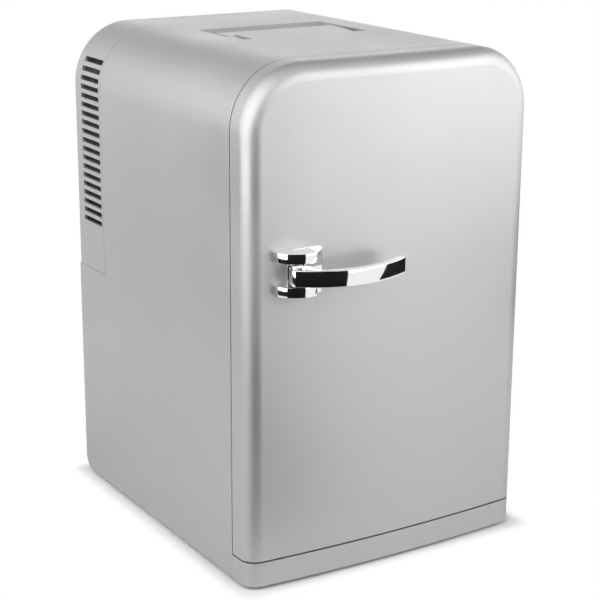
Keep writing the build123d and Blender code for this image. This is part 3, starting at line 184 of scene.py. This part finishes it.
foot_rubber = grained_finish("foot_rubber", (0.035, 0.035, 0.036), 0.72, (1200.0,) * 3, tone=0.15, bump=0.00006)
foot_profile = (
    (0.0, 0.0009), (0.0048, 0.0009), (0.0060, 0.0006), (0.0066, 0.0001), (0.0070, 0.0), (0.0088, 0.0),
    (0.0096, 0.0003), (0.0100, 0.0010), (0.0098, 0.0026), (0.0095, 0.0030), (0.0, 0.0030),
)
foot_side, foot_front, foot_rear, foot_steps = 0.106, -0.0954, 0.128, 36
feet = bmesh.new()
for side in (-foot_side, foot_side):
    for depth in (foot_front, foot_rear):
        turn_profile(feet, foot_profile, Vector((side, depth, 0.0)), foot_steps)
dress_piece(feet, "rubber_feet_turned", foot_rubber, "cabinet", "foot_rubber", "rubber_feet")

# Plinth: the separate skirt under the door, which covers the front of the base. It is moulded in styrene to the same
# bow as the door, sprayed with the same silver paint, and held by two tabs.
give_finish(silver_paint, "plinth")

# Cooler: a ribbed cold plate inside, a spacer block, the ceramic module and a finned heat sink, drawn together by
# four screws through the rear wall. The plates and fins are extruded aluminium, with fine lines along their draw.
aluminium = grained_finish(
    "aluminium", (0.72, 0.73, 0.74), 0.36, (1500.0, 1500.0, 40.0), tone=0.06, polish=0.08, Metallic=1.0
)
give_finish(aluminium, "cold_plate", "cold_block", "heat_sink")
module_ceramic = grained_finish("module_ceramic", (0.85, 0.85, 0.82), 0.55, (800.0,) * 3)
give_finish(module_ceramic, "peltier_module")
zinc_steel = grained_finish(
    "zinc_steel", (0.58, 0.585, 0.60), 0.30, (260.0,) * 3, tone=0.09, polish=0.09, Metallic=1.0
)
give_finish(zinc_steel, "heat_sink_screws")

# Fan: a square frame with four struts, and a seven-blade rotor on a steel-bushed shaft. Both are moulded in black
# plastic, and zinc-plated screws hold the frame behind the heat sink, so that the rotor moves air over the fins.
black_plastic = grained_finish("black_plastic", (0.022, 0.022, 0.024), 0.42, (900.0,) * 3, tone=0.12)
give_finish(black_plastic, "fan_frame", "fan_rotor")
give_finish(zinc_steel, "fan_screws")

# Control board: a glass-fibre board under green lacquer, with a grid of paler copper runs beneath it. It stands on
# four standoffs and carries a transformer, two capacitors and a terminal.
board_green = grained_finish("board_green", (0.03, 0.20, 0.08), 0.38, (300.0,) * 3, tone=0.15)
board_tree = board_green.node_tree
board_place = board_tree.nodes.new("ShaderNodeTexCoord").outputs["Object"]
board_face = add_node(
    board_tree, "ShaderNodeMapping", {"Vector": board_place, "Rotation": (radians(90.0), 0.0, 0.0)}
)
lacquer_dark, lacquer_light = (0.028, 0.19, 0.075, 1.0), (0.034, 0.22, 0.09, 1.0)
run_green, run_scale, run_width = (0.10, 0.33, 0.13, 1.0), 55.0, 0.035
runs = add_node(
    board_tree, "ShaderNodeTexBrick",
    {"Vector": board_face.outputs[0], "Color1": lacquer_dark, "Color2": lacquer_light, "Mortar": run_green,
     "Scale": run_scale, "Mortar Size": run_width},
)
board_tree.links.new(runs.outputs["Color"], board_tree.nodes["Principled BSDF"].inputs["Base Color"])
give_finish(board_green, "control_board")
give_finish(zinc_steel, "board_standoffs", "board_screws")
give_finish(black_plastic, "board_transformer")
give_finish(aluminium, "board_capacitors")
acetal_grey = grained_finish("acetal_grey", (0.30, 0.31, 0.32), 0.38, (900.0,) * 3, tone=0.05)
give_finish(acetal_grey, "board_terminal")

# Rear cover: the silver moulding that closes the upper rear, with vents in both sides and a grille for the fan. Four
# zinc-plated pan-head screws with a cross recess hold it to bosses in the shell.

def join_form(form, part):
    """Add a finished part to a form, and let the part go."""
    carrier = bpy.data.meshes.new("part_form")
    part.to_mesh(carrier)
    part.free()
    form.from_mesh(carrier)
    bpy.data.meshes.remove(carrier)


def cross_screw(form, seat, out, head, rise, shank, length):
    """Add a pan-head screw: turned head and shank, with a cross sunk in the top, standing on a seat."""
    crown, head_steps = 0.62 * head, 24
    slot_half, slot_reach, slot_depth = 0.10 * head, 0.46 * head, 0.6 * rise
    near_top = 0.99 * rise
    screw = bmesh.new()
    profile = (
        (0.0, -length), (0.6 * shank, -length), (shank, -length + 0.8 * shank), (shank, 0.0), (head, 0.0),
        (head, 0.35 * rise), (0.93 * head, 0.70 * rise), (0.80 * head, 0.92 * rise), (crown, rise),
    )
    turn_profile(screw, profile, Vector(), head_steps)
    bmesh.ops.holes_fill(screw, edges=[edge for edge in screw.edges if edge.is_boundary])
    for way in (Vector((1.0, 0.0, 0.0)), Vector((0.0, 1.0, 0.0))):
        for offset in (-slot_reach, -slot_half, slot_half, slot_reach):
            top = [face for face in screw.faces if face.normal.z > 0.99 and face.calc_center_median().z > near_top]
            around = {edge for face in top for edge in face.edges} | {vert for face in top for vert in face.verts}
            bmesh.ops.bisect_plane(screw, geom=top + list(around), plane_co=way * offset, plane_no=way, dist=1e-7)
    recess = []
    for face in screw.faces:
        middle = face.calc_center_median()
        wide, narrow = max(abs(middle.x), abs(middle.y)), min(abs(middle.x), abs(middle.y))
        if middle.z > near_top and wide < slot_reach and narrow < slot_half:
            recess.append(face)
    sunk = bmesh.ops.extrude_face_region(screw, geom=recess)["geom"]
    bmesh.ops.delete(screw, geom=recess, context="FACES_ONLY")
    slot_floor = [item for item in sunk if isinstance(item, bmesh.types.BMVert)]
    bmesh.ops.translate(screw, verts=slot_floor, vec=(0.0, 0.0, -slot_depth))
    turn = Vector((0.0, 0.0, 1.0)).rotation_difference(out).to_matrix().to_4x4()
    bmesh.ops.transform(screw, matrix=Matrix.Translation(seat) @ turn, verts=screw.verts)
    join_form(form, screw)


give_finish(silver_paint, "rear_cover")
cover_low, cover_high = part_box("cover_screws")
cover_head, cover_rise, cover_shank = 0.0032, 0.002, 0.0016
cover_set = bmesh.new()
for side in (cover_low[0] + cover_head, cover_high[0] - cover_head):
    for height in (cover_low[2] + cover_head, cover_high[2] - cover_head):
        seat = Vector((side, cover_high[1] - cover_rise, height))
        cross_screw(
            cover_set, seat, Vector((0.0, 1.0, 0.0)), cover_head, cover_rise, cover_shank,
            cover_high[1] - cover_low[1] - cover_rise,
        )
dress_piece(cover_set, "cover_screws_cross", zinc_steel, "cabinet", "steel", "cover_screws")

# Inlets and switch: a two-pin mains inlet, a low-voltage inlet with a centre pin, and the rocker that picks cold or
# warm. They have moulded black cases and brass pins, and are pressed into openings in the rear cover.
give_finish(black_plastic, "mains_inlet", "low_volt_inlet", "switch_frame", "switch_rocker")
pin_brass = grained_finish("pin_brass", (0.75, 0.58, 0.28), 0.25, (900.0,) * 3, tone=0.06, Metallic=1.0)
give_finish(pin_brass, "mains_inlet_pins", "low_volt_pin")

# Carry handle: a bail that lies flush in the recess of the top and flips up to be held. It is moulded in styrene,
# sprayed with the same silver paint as the shell, and turns on two steel pins.
give_finish(silver_paint, "carry_handle")
give_finish(zinc_steel, "carry_handle_pins")

# Hinges: two leaf hinges on the right, pressed from zinc-plated steel, each with a headed pin. Two small cross-head
# screws in each leaf hold them to the shell and to the door.
give_finish(
    zinc_steel, "hinge_leaf_cabinet_lower", "hinge_leaf_cabinet_upper", "hinge_leaf_door_lower",
    "hinge_leaf_door_upper", "hinge_pin_lower", "hinge_pin_upper",
)
hinge_head, hinge_rise, hinge_shank, hinge_spread = 0.0026, 0.0012, 0.0015, 0.034
for node, body in (("hinge_screws_cabinet", "cabinet"), ("hinge_screws_door", "door")):
    hinge_low, hinge_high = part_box(node)
    hinge_set = bmesh.new()
    bottom, top = hinge_low[2] + hinge_head, hinge_high[2] - hinge_head
    for height in (bottom, bottom + hinge_spread, top - hinge_spread, top):
        seat = Vector((hinge_high[0] - hinge_rise, (hinge_low[1] + hinge_high[1]) / 2, height))
        cross_screw(
            hinge_set, seat, Vector((1.0, 0.0, 0.0)), hinge_head, hinge_rise, hinge_shank,
            hinge_high[0] - hinge_low[0] - hinge_rise,
        )
    dress_piece(hinge_set, node + "_cross", zinc_steel, body, "steel", node)

# Door: a bowed silver skin, and a white lining with a raised plug and a groove for the seal. The skin is moulded and
# sprayed like the shell, the lining is vacuum-formed, and rigid foam fills the space between them.
give_finish(silver_paint, "door_shell")
give_finish(cell_foam, "door_foam")
give_finish(white_styrene, "door_liner")

# Door seal: a hollow ring of soft grey rubber pressed into the groove, with a fold round its waist that lets its flat
# face give when the door shuts. It is extruded and joined at the corners.
seal_rubber = grained_finish("seal_rubber", (0.62, 0.63, 0.63), 0.60, (700.0,) * 3, tone=0.04)
seal_low, seal_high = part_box("door_gasket")
seal_middle = (seal_low + seal_high) / 2
seal_corner, seal_steps = 0.0298, 10
seal_section = (
    (0.0, 0.0), (0.0008, -0.0010), (0.0004, -0.0022), (0.0014, -0.0031), (0.0004, -0.0041), (0.0, -0.0055),
    (0.0009, -0.0063), (0.0079, -0.0063), (0.0088, -0.0055), (0.0084, -0.0041), (0.0074, -0.0031),
    (0.0084, -0.0022), (0.0080, -0.0010), (0.0088, 0.0),
)
corner_x, corner_z = seal_high[0] - seal_corner, seal_high[2] - seal_corner
seal = bmesh.new()
ring = [seal.verts.new((seal_high[0] - inset, seal_low[1] - rise, 2 * seal_middle[2] - corner_z))
        for inset, rise in seal_section]
section = [seal.edges.new(pair) for pair in zip(ring, ring[1:] + ring[:1])]
tall, wide = 2 * (corner_z - seal_middle[2]), 2 * (corner_x - seal_middle[0])
for run, corner in (
    ((0.0, 0.0, tall), (1.0, 1.0)), ((-wide, 0.0, 0.0), (-1.0, 1.0)),
    ((0.0, 0.0, -tall), (-1.0, -1.0)), ((wide, 0.0, 0.0), (1.0, -1.0)),
):
    pulled = bmesh.ops.extrude_edge_only(seal, edges=section)["geom"]
    moved = [item for item in pulled if isinstance(item, bmesh.types.BMVert)]
    bmesh.ops.translate(seal, verts=moved, vec=run)
    straight = moved + [item for item in pulled if isinstance(item, bmesh.types.BMEdge)]
    bend = (
        seal_middle[0] + corner[0] * (corner_x - seal_middle[0]), 0.0,
        seal_middle[2] + corner[1] * (corner_z - seal_middle[2]),
    )
    turned = bmesh.ops.spin(
        seal, geom=straight, cent=bend, axis=(0.0, -1.0, 0.0), angle=radians(90.0), steps=seal_steps
    )["geom_last"]
    section = [item for item in turned if isinstance(item, bmesh.types.BMEdge)]
bmesh.ops.remove_doubles(seal, verts=seal.verts, dist=1e-5)
dress_piece(seal, "door_gasket_fold", seal_rubber, "door", "gasket_rubber", "door_gasket", sharp=60.0)

# Door bins: two open bins for small things on the inside of the door. Each is moulded in one piece from clear styrene
# and clipped to the plug of the lining.
bin_styrene = grained_finish(
    "bin_styrene", (0.86, 0.90, 0.92), 0.12, (600.0,) * 3, tone=0.01, polish=0.04, Transmission_Weight=0.75
)
give_finish(bin_styrene, "door_bin_lower", "door_bin_upper")

# Latch: a slide with a hook, which runs in a housing inside the door, both moulded in grey acetal. The hook catches a
# keeper of zinc-plated steel, which is screwed to the front frame.
give_finish(acetal_grey, "latch_housing", "latch_slide")
give_finish(zinc_steel, "keeper_plate", "keeper_screws")

# Latch spring: a coil of steel wire between the slide and the end of its housing. It shortens when the lever is
# pulled and pushes the hook home again.
coil_low, coil_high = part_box("latch_spring")
coil_middle = (coil_low + coil_high) / 2
wire, wire_sides, coil_turns, turn_steps = 0.0006, 10, 6, 24
coil_radius = (coil_high[2] - coil_low[2]) / 2 - wire
coil_run = coil_high[0] - coil_low[0] - 2 * wire
coil = bmesh.new()
bmesh.ops.create_circle(coil, cap_ends=True, radius=wire, segments=wire_sides)
bmesh.ops.rotate(coil, cent=(0.0, 0.0, 0.0), matrix=Matrix.Rotation(radians(90.0), 3, "X"), verts=coil.verts)
bmesh.ops.translate(
    coil, verts=coil.verts, vec=(coil_low[0] + wire, coil_middle[1], coil_middle[2] + coil_radius)
)
coil_steps = coil_turns * turn_steps
bmesh.ops.spin(
    coil, geom=coil.verts[:] + coil.edges[:] + coil.faces[:], cent=coil_middle, axis=(1.0, 0.0, 0.0),
    dvec=(coil_run / coil_steps, 0.0, 0.0), angle=radians(360.0 * coil_turns), steps=coil_steps,
)
coil_piece = dress_piece(coil, "latch_spring_coil", zinc_steel, "door", "steel", "latch_spring")
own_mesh(coil_piece)

# Handle base: a zinc die-casting with a thin plate on the door and two lugs for the pin, plated with bright chrome
# and screwed on from inside. The lever's tail passes through a window in the plate.

def arc_line(form, start, centre, turn, steps):
    """Draw an arc from a start about an upright axis, and return its two end points."""
    first = form.verts.new(start)
    swept = bmesh.ops.spin(
        form, geom=[first], cent=centre, axis=(0.0, 0.0, 1.0), angle=radians(turn), steps=steps
    )["geom_last"]
    return first, [item for item in swept if isinstance(item, bmesh.types.BMVert)][0]


def raise_outline(form, height, rim, corners=(), corner_round=0.0, behind=0.0):
    """Fill a closed outline, round its corners, pull it up to a height, and round its rims in front of a depth."""
    bmesh.ops.edgeloop_fill(form, edges=form.edges)
    if corners:
        bmesh.ops.bevel(
            form, geom=corners, offset=corner_round, segments=5, profile=0.5, affect="VERTICES", material=-1
        )
    pulled = bmesh.ops.extrude_face_region(form, geom=form.faces[:])["geom"]
    upper = [item for item in pulled if isinstance(item, bmesh.types.BMVert)]
    bmesh.ops.translate(form, verts=upper, vec=(0.0, 0.0, height))
    rims = [
        edge for edge in form.edges
        if abs(edge.verts[0].co.z - edge.verts[1].co.z) < 1e-6 and max(vert.co.y for vert in edge.verts) < behind
    ]
    bmesh.ops.bevel(
        form, geom=rims, offset=rim, segments=4, profile=0.5, affect="EDGES", material=-1, clamp_overlap=True
    )
    bmesh.ops.dissolve_degenerate(form, dist=2e-6, edges=form.edges)


bow_face, bow_radius = -0.160, 1.590


def door_front(side):
    """Depth of the bowed door front at a distance from its middle."""
    return bow_face + bow_radius - sqrt(bow_radius**2 - side**2)


chrome = grained_finish(
    "chrome", (0.86, 0.86, 0.87), 0.05, (200.0,) * 3, tone=0.02, polish=0.03, bump=0.000004, Metallic=1.0
)
pivot = Vector((-0.096, -0.1700992, 0.2685))
lug_middle, lug_height, lug_gap = pivot.z + 0.00175, 0.008, 0.0192
lug_left, lug_left_back = pivot.x - 0.0195, pivot.y + 0.0076
lug_centre, lug_turn, lug_steps = Vector((pivot.x + 0.00297, pivot.y + 0.01909, 0.0)), 80.27, 22
lug_edge, lug_corner = 0.0008, 0.0035
plate_left, plate_right, plate_low, plate_high = -0.104, -0.072, 0.249, 0.288
plate_front, plate_edge, plate_corner = door_front(pivot.x) - 0.002, 0.0005, 0.003
window_left, window_right, window_low, window_high = -0.0989, -0.0874, 0.2639, 0.2731
base = bmesh.new()
for low in (lug_middle - lug_gap / 2 - lug_height, lug_middle + lug_gap / 2):
    lug = bmesh.new()
    left_end, right_end = arc_line(lug, (lug_left, lug_left_back, low), lug_centre, lug_turn, lug_steps)
    left_back = lug.verts.new((lug_left, door_front(lug_left), low))
    right_back = lug.verts.new((right_end.co.x, door_front(right_end.co.x), low))
    for pair in ((right_end, right_back), (right_back, left_back), (left_back, left_end)):
        lug.edges.new(pair)
    raise_outline(
        lug, lug_height, lug_edge, corners=[left_end, right_end], corner_round=lug_corner, behind=plate_front
    )
    join_form(base, lug)
plate = bmesh.new()
plate.faces.new(
    plate.verts.new((side, plate_front, height))
    for side, height in (
        (plate_left, plate_low), (plate_right, plate_low), (plate_right, plate_high), (plate_left, plate_high)
    )
)
bmesh.ops.bevel(
    plate, geom=plate.verts[:], offset=plate_corner, segments=5, profile=0.5, affect="VERTICES", material=-1
)
for cut, way in (
    ((window_left, 0.0, 0.0), (1.0, 0.0, 0.0)), ((window_right, 0.0, 0.0), (1.0, 0.0, 0.0)),
    ((0.0, 0.0, window_low), (0.0, 0.0, 1.0)), ((0.0, 0.0, window_high), (0.0, 0.0, 1.0)),
):
    bmesh.ops.bisect_plane(
        plate, geom=plate.verts[:] + plate.edges[:] + plate.faces[:], plane_co=cut, plane_no=way, dist=1e-7
    )
window = [
    face for face in plate.faces
    if window_left < face.calc_center_median().x < window_right
    and window_low < face.calc_center_median().z < window_high
]
bmesh.ops.delete(plate, geom=window, context="FACES")
plate_rim = [
    edge for edge in plate.edges
    if edge.is_boundary and not all(
        window_left - 1e-6 < vert.co.x < window_right + 1e-6 and window_low - 1e-6 < vert.co.z < window_high + 1e-6
        for vert in edge.verts
    )
]
for item in bmesh.ops.extrude_face_region(plate, geom=plate.faces[:])["geom"]:
    if isinstance(item, bmesh.types.BMVert):
        item.co.y = door_front(item.co.x)
bmesh.ops.bevel(
    plate, geom=plate_rim, offset=plate_edge, segments=3, profile=0.5, affect="EDGES", material=-1, clamp_overlap=True
)
join_form(base, plate)
dress_piece(base, "handle_base_cast", chrome, "door", "chrome", "handle_base")
give_finish(chrome, "handle_pin")
give_finish(zinc_steel, "handle_screws")

# Handle lever: a chrome-plated zinc die-casting, an arched bar with soft edges that turns on the pin between the
# lugs. A thin tail behind the pin reaches through the plate and draws the latch slide.
lever_height, lever_edge, lever_corner, heel_reach, knuckle_radius = 0.0134, 0.0005, 0.0022, 0.010, 0.007
lever_low = pivot.z - lever_height / 2
arch = Vector((pivot.x + 0.0451, pivot.y + 0.0606, 0.0))
arch_outer, arch_inner, arch_start, arch_join, arch_end = 0.085, 0.079, 228.0, 237.84, 302.0
outer_steps, inner_steps, knuckle_steps, tip_steps = 44, 38, 22, 18


def arch_point(radius, angle):
    """Point on the lever's arch, at its underside."""
    return Vector((arch.x + radius * cos(radians(angle)), arch.y + radius * sin(radians(angle)), lever_low))


lever = bmesh.new()
outer_start, outer_end = arc_line(
    lever, arch_point(arch_outer, arch_start), arch, arch_end - arch_start, outer_steps
)
inner_start, inner_end = arc_line(
    lever, arch_point(arch_inner, arch_join), arch, arch_end - arch_join, inner_steps
)
knuckle_turn = 90.0 - degrees(atan2(inner_start.co.y - pivot.y, inner_start.co.x - pivot.x))
knuckle_end = arc_line(lever, inner_start.co, pivot, knuckle_turn, knuckle_steps)[1]
heel = lever.verts.new((pivot.x - heel_reach, pivot.y + knuckle_radius, lever_low))
for pair in ((knuckle_end, heel), (heel, outer_start), (outer_end, inner_end)):
    lever.edges.new(pair)
bmesh.ops.remove_doubles(lever, verts=lever.verts, dist=1e-5)
raise_outline(
    lever, lever_height, lever_edge, corners=[outer_end, inner_end, heel, outer_start], corner_round=lever_corner
)
tail_half, tail_tip, tail_height, tail_edge = 0.002, 0.0022, 0.008, 0.0003
tail_root, tail_rest = pivot.y + 0.004, pivot.y + 0.0235
tail_low = pivot.z - tail_height / 2
tail_join = tail_rest - sqrt(tail_tip**2 - tail_half**2)
tail = bmesh.new()
tip_turn = 360.0 - 2 * degrees(atan2(tail_half, tail_rest - tail_join))
tip_start, tip_end = arc_line(
    tail, (pivot.x + tail_half, tail_join, tail_low), (pivot.x, tail_rest, 0.0), tip_turn, tip_steps
)
root_left = tail.verts.new((pivot.x - tail_half, tail_root, tail_low))
root_right = tail.verts.new((pivot.x + tail_half, tail_root, tail_low))
for pair in ((tip_end, root_left), (root_left, root_right), (root_right, tip_start)):
    tail.edges.new(pair)
raise_outline(tail, tail_height, tail_edge)
join_form(lever, tail)
dress_piece(lever, "handle_lever_cast", chrome, "lever", "chrome", "handle_lever")

# Studio floor: a sheet of pale paper. The camera sees it as plain white, except in a narrow band round the base of
# the fridge, where the real shadow of the body is kept. Reflections see it turn white over a wider band.
sheet_reach, base_middle, base_half = 6.0, (0.0, 0.002, 0.0), (0.136, 0.156, 0.0)
shadow_start, shadow_end, mirror_start, mirror_end = 0.002, 0.018, 0.0, 0.42
sheet = bmesh.new()
bmesh.ops.create_grid(sheet, x_segments=1, y_segments=1, size=sheet_reach)
floor_mesh = bpy.data.meshes.new("studio_floor")
sheet.to_mesh(floor_mesh)
sheet.free()
floor = bpy.data.objects.new("studio_floor", floor_mesh)
bpy.context.scene.collection.objects.link(floor)
floor_paper = bpy.data.materials.new("floor_paper")
floor_paper.use_nodes = True
paper_tree = floor_paper.node_tree
lit_paper = paper_tree.nodes["Principled BSDF"]
lit_paper.inputs["Base Color"].default_value = (0.82, 0.82, 0.82, 1.0)
lit_paper.inputs["Roughness"].default_value = 0.9
plain_white = add_node(paper_tree, "ShaderNodeEmission", {"Color": (1.0, 1.0, 1.0, 1.0), "Strength": 1.0})
floor_place = paper_tree.nodes.new("ShaderNodeTexCoord").outputs["Object"]
from_middle = add_node(paper_tree, "ShaderNodeVectorMath", {0: floor_place, 1: base_middle}, operation="SUBTRACT")
folded = add_node(paper_tree, "ShaderNodeVectorMath", {0: from_middle.outputs[0]}, operation="ABSOLUTE")
beyond = add_node(paper_tree, "ShaderNodeVectorMath", {0: folded.outputs[0], 1: base_half}, operation="SUBTRACT")
outside = add_node(
    paper_tree, "ShaderNodeVectorMath", {0: beyond.outputs[0], 1: (0.0, 0.0, 0.0)}, operation="MAXIMUM"
)
away = add_node(paper_tree, "ShaderNodeVectorMath", {0: outside.outputs[0]}, operation="LENGTH").outputs["Value"]


def soft_step(tree, signal, start, end, first=0.0, last=1.0):
    """Change smoothly from a first to a last value while a signal goes from a start to an end."""
    ends = {"Value": signal, "From Min": start, "From Max": end, "To Min": first, "To Max": last}
    return add_node(tree, "ShaderNodeMapRange", ends, interpolation_type="SMOOTHSTEP").outputs["Result"]


whiteness = soft_step(paper_tree, away, shadow_start, shadow_end)
mirrored_whiteness = soft_step(paper_tree, away, mirror_start, mirror_end)
floor_seen_by = paper_tree.nodes.new("ShaderNodeLightPath").outputs
seen_share = add_node(
    paper_tree, "ShaderNodeMath", {0: floor_seen_by["Is Camera Ray"], 1: whiteness}, operation="MULTIPLY"
).outputs[0]
share = add_node(
    paper_tree, "ShaderNodeMath",
    {0: floor_seen_by["Is Glossy Ray"], 1: mirrored_whiteness, 2: seen_share}, operation="MULTIPLY_ADD",
).outputs[0]
paper = add_node(paper_tree, "ShaderNodeMixShader", {0: share, 1: lit_paper.outputs[0], 2: plain_white.outputs[0]})
paper_tree.links.new(paper.outputs[0], paper_tree.nodes["Material Output"].inputs["Surface"])
floor_mesh.materials.append(floor_paper)

# Low black cards: curved cards that stand on the floor round the front of the fridge, one of them with a wide foot
# that lies flat. They give the rounded edge of the door and the chrome handle their dark reflections, and the camera
# doesn't see them.
card_distance, narrow_foot, wide_foot, card_seat, card_steps = 0.75, 0.74, 0.3, 0.001, 8
cards = bmesh.new()
for start, end, inner, height, lean in (
    (-140.0, -105.0, narrow_foot, 0.3, 0.0), (-105.0, -50.0, narrow_foot, 0.128, 0.0),
    (-50.0, 1.0, wide_foot, 0.4, 0.0), (37.0, 118.0, narrow_foot, 0.2, 8.0),
):
    out = Vector((sin(radians(start)), -cos(radians(start)), 0.0))
    profile = [
        cards.verts.new(out * distance + Vector((0.0, 0.0, lift)))
        for distance, lift in ((inner, card_seat), (card_distance, card_seat), (card_distance, height))
    ]
    folds = [cards.edges.new(pair) for pair in zip(profile, profile[1:])]
    bmesh.ops.spin(
        cards, geom=profile + folds, cent=(0.0, 0.0, 0.0), axis=(0.0, 0.0, 1.0), angle=radians(end - start),
        steps=card_steps,
    )
    bmesh.ops.rotate(cards, cent=(0.0, 0.0, 0.0), matrix=Matrix.Rotation(radians(lean), 3, "Z"), verts=profile[2:])
card_mesh = bpy.data.meshes.new("black_cards")
cards.to_mesh(card_mesh)
cards.free()
black_cards = bpy.data.objects.new("black_cards", card_mesh)
bpy.context.scene.collection.objects.link(black_cards)
black_cards.visible_camera = False
card_black = bpy.data.materials.new("card_black")
card_black.use_nodes = True
card_black.node_tree.nodes["Principled BSDF"].inputs["Base Color"].default_value = (0.01, 0.01, 0.01, 1.0)
card_black.node_tree.nodes["Principled BSDF"].inputs["Roughness"].default_value = 1.0
card_mesh.materials.append(card_black)

# Studio light: soft square lamps in front, on the right and on the left, and a weak one at the rear right that lifts
# the top. The room's walls are pale behind the fridge and dim in front of it, and its ceiling is the other way round,
# so the rounded shoulder above the side mirrors a dark band.

def soft_lamp(name, place, aim, size, power):
    """Square area lamp that points from one place at another."""
    lamp = bpy.data.lights.new(name, "AREA")
    lamp.shape = "SQUARE"
    lamp.size = size
    lamp.energy = power
    holder = bpy.data.objects.new(name, lamp)
    holder.location = place
    holder.rotation_euler = (Vector(aim) - Vector(place)).to_track_quat("-Z", "Y").to_euler()
    bpy.context.scene.collection.objects.link(holder)


body_middle = (0.0, 0.0, 0.22)
soft_lamp("front_lamp", (0.669, -1.838, 0.636), body_middle, 2.0, 20.0)
soft_lamp("right_front_lamp", (1.694, -0.978, 0.636), body_middle, 2.0, 18.4)
soft_lamp("front_left_lamp", (-1.525, -0.88, 0.594), body_middle, 2.0, 7.2)
soft_lamp("left_lamp", (-0.8, -0.15, 0.6), (0.0, -0.05, 0.32), 1.5, 10.8)
soft_lamp("rear_right_lamp", (1.0, 1.6, 1.0), (0.0, 0.0, 0.43), 1.2, 2.3)
rear_heading, front_end, rear_end = (0.53, 0.85, 0.0), -0.3, 0.7
wall_front, wall_rear, ceiling_front, ceiling_rear = 0.45, 1.0, 0.6, 0.2
ceiling_start, ceiling_full = 0.32, 0.58
room = bpy.data.worlds.new("studio_room")
room.use_nodes = True
bpy.context.scene.world = room
room_tree = room.node_tree
heading = room_tree.nodes.new("ShaderNodeTexCoord").outputs["Generated"]
behind = add_node(
    room_tree, "ShaderNodeVectorMath", {0: heading, 1: rear_heading}, operation="DOT_PRODUCT"
).outputs["Value"]
wall_light = soft_step(room_tree, behind, front_end, rear_end, wall_front, wall_rear)
ceiling_light = soft_step(room_tree, behind, front_end, rear_end, ceiling_front, ceiling_rear)
upward = add_node(room_tree, "ShaderNodeSeparateXYZ", {"Vector": heading}).outputs["Z"]
overhead = soft_step(room_tree, upward, ceiling_start, ceiling_full)
room_light = add_node(
    room_tree, "ShaderNodeMix", {"Factor": overhead, "A": wall_light, "B": ceiling_light}
).outputs[0]
room_seen_by = room_tree.nodes.new("ShaderNodeLightPath").outputs
plainly_seen = add_node(
    room_tree, "ShaderNodeMath",
    {0: room_seen_by["Is Camera Ray"], 1: room_seen_by["Is Transmission Ray"]}, operation="MAXIMUM",
).outputs[0]
wall = add_node(room_tree, "ShaderNodeMix", {"Factor": plainly_seen, "A": room_light, "B": 1.0}).outputs[0]
room_tree.links.new(wall, room_tree.nodes["Background"].inputs["Strength"])
room_tree.nodes["Background"].inputs["Color"].default_value = (1.0, 1.0, 1.0, 1.0)

# Camera: a long lens in front on the left, a little above the fridge, as the photograph was taken. It is rolled by a
# third of a degree, so that the uprights stand as they do there.
lens = bpy.data.cameras.new("view")
lens.sensor_width = 36.0
lens.lens = 97.853
camera = bpy.data.objects.new("view", lens)
camera.location = (-0.7467, -1.21013, 0.61217)
sight = Vector((0.50674581, 0.81407258, -0.28371558))
level_turn, roll = sight.to_track_quat("-Z", "Y"), 0.31
camera.rotation_euler = (level_turn @ Quaternion((0.0, 0.0, 1.0), radians(roll))).to_euler()
bpy.context.scene.collection.objects.link(camera)
bpy.context.scene.camera = camera
bpy.context.scene.view_settings.view_transform = "Standard"
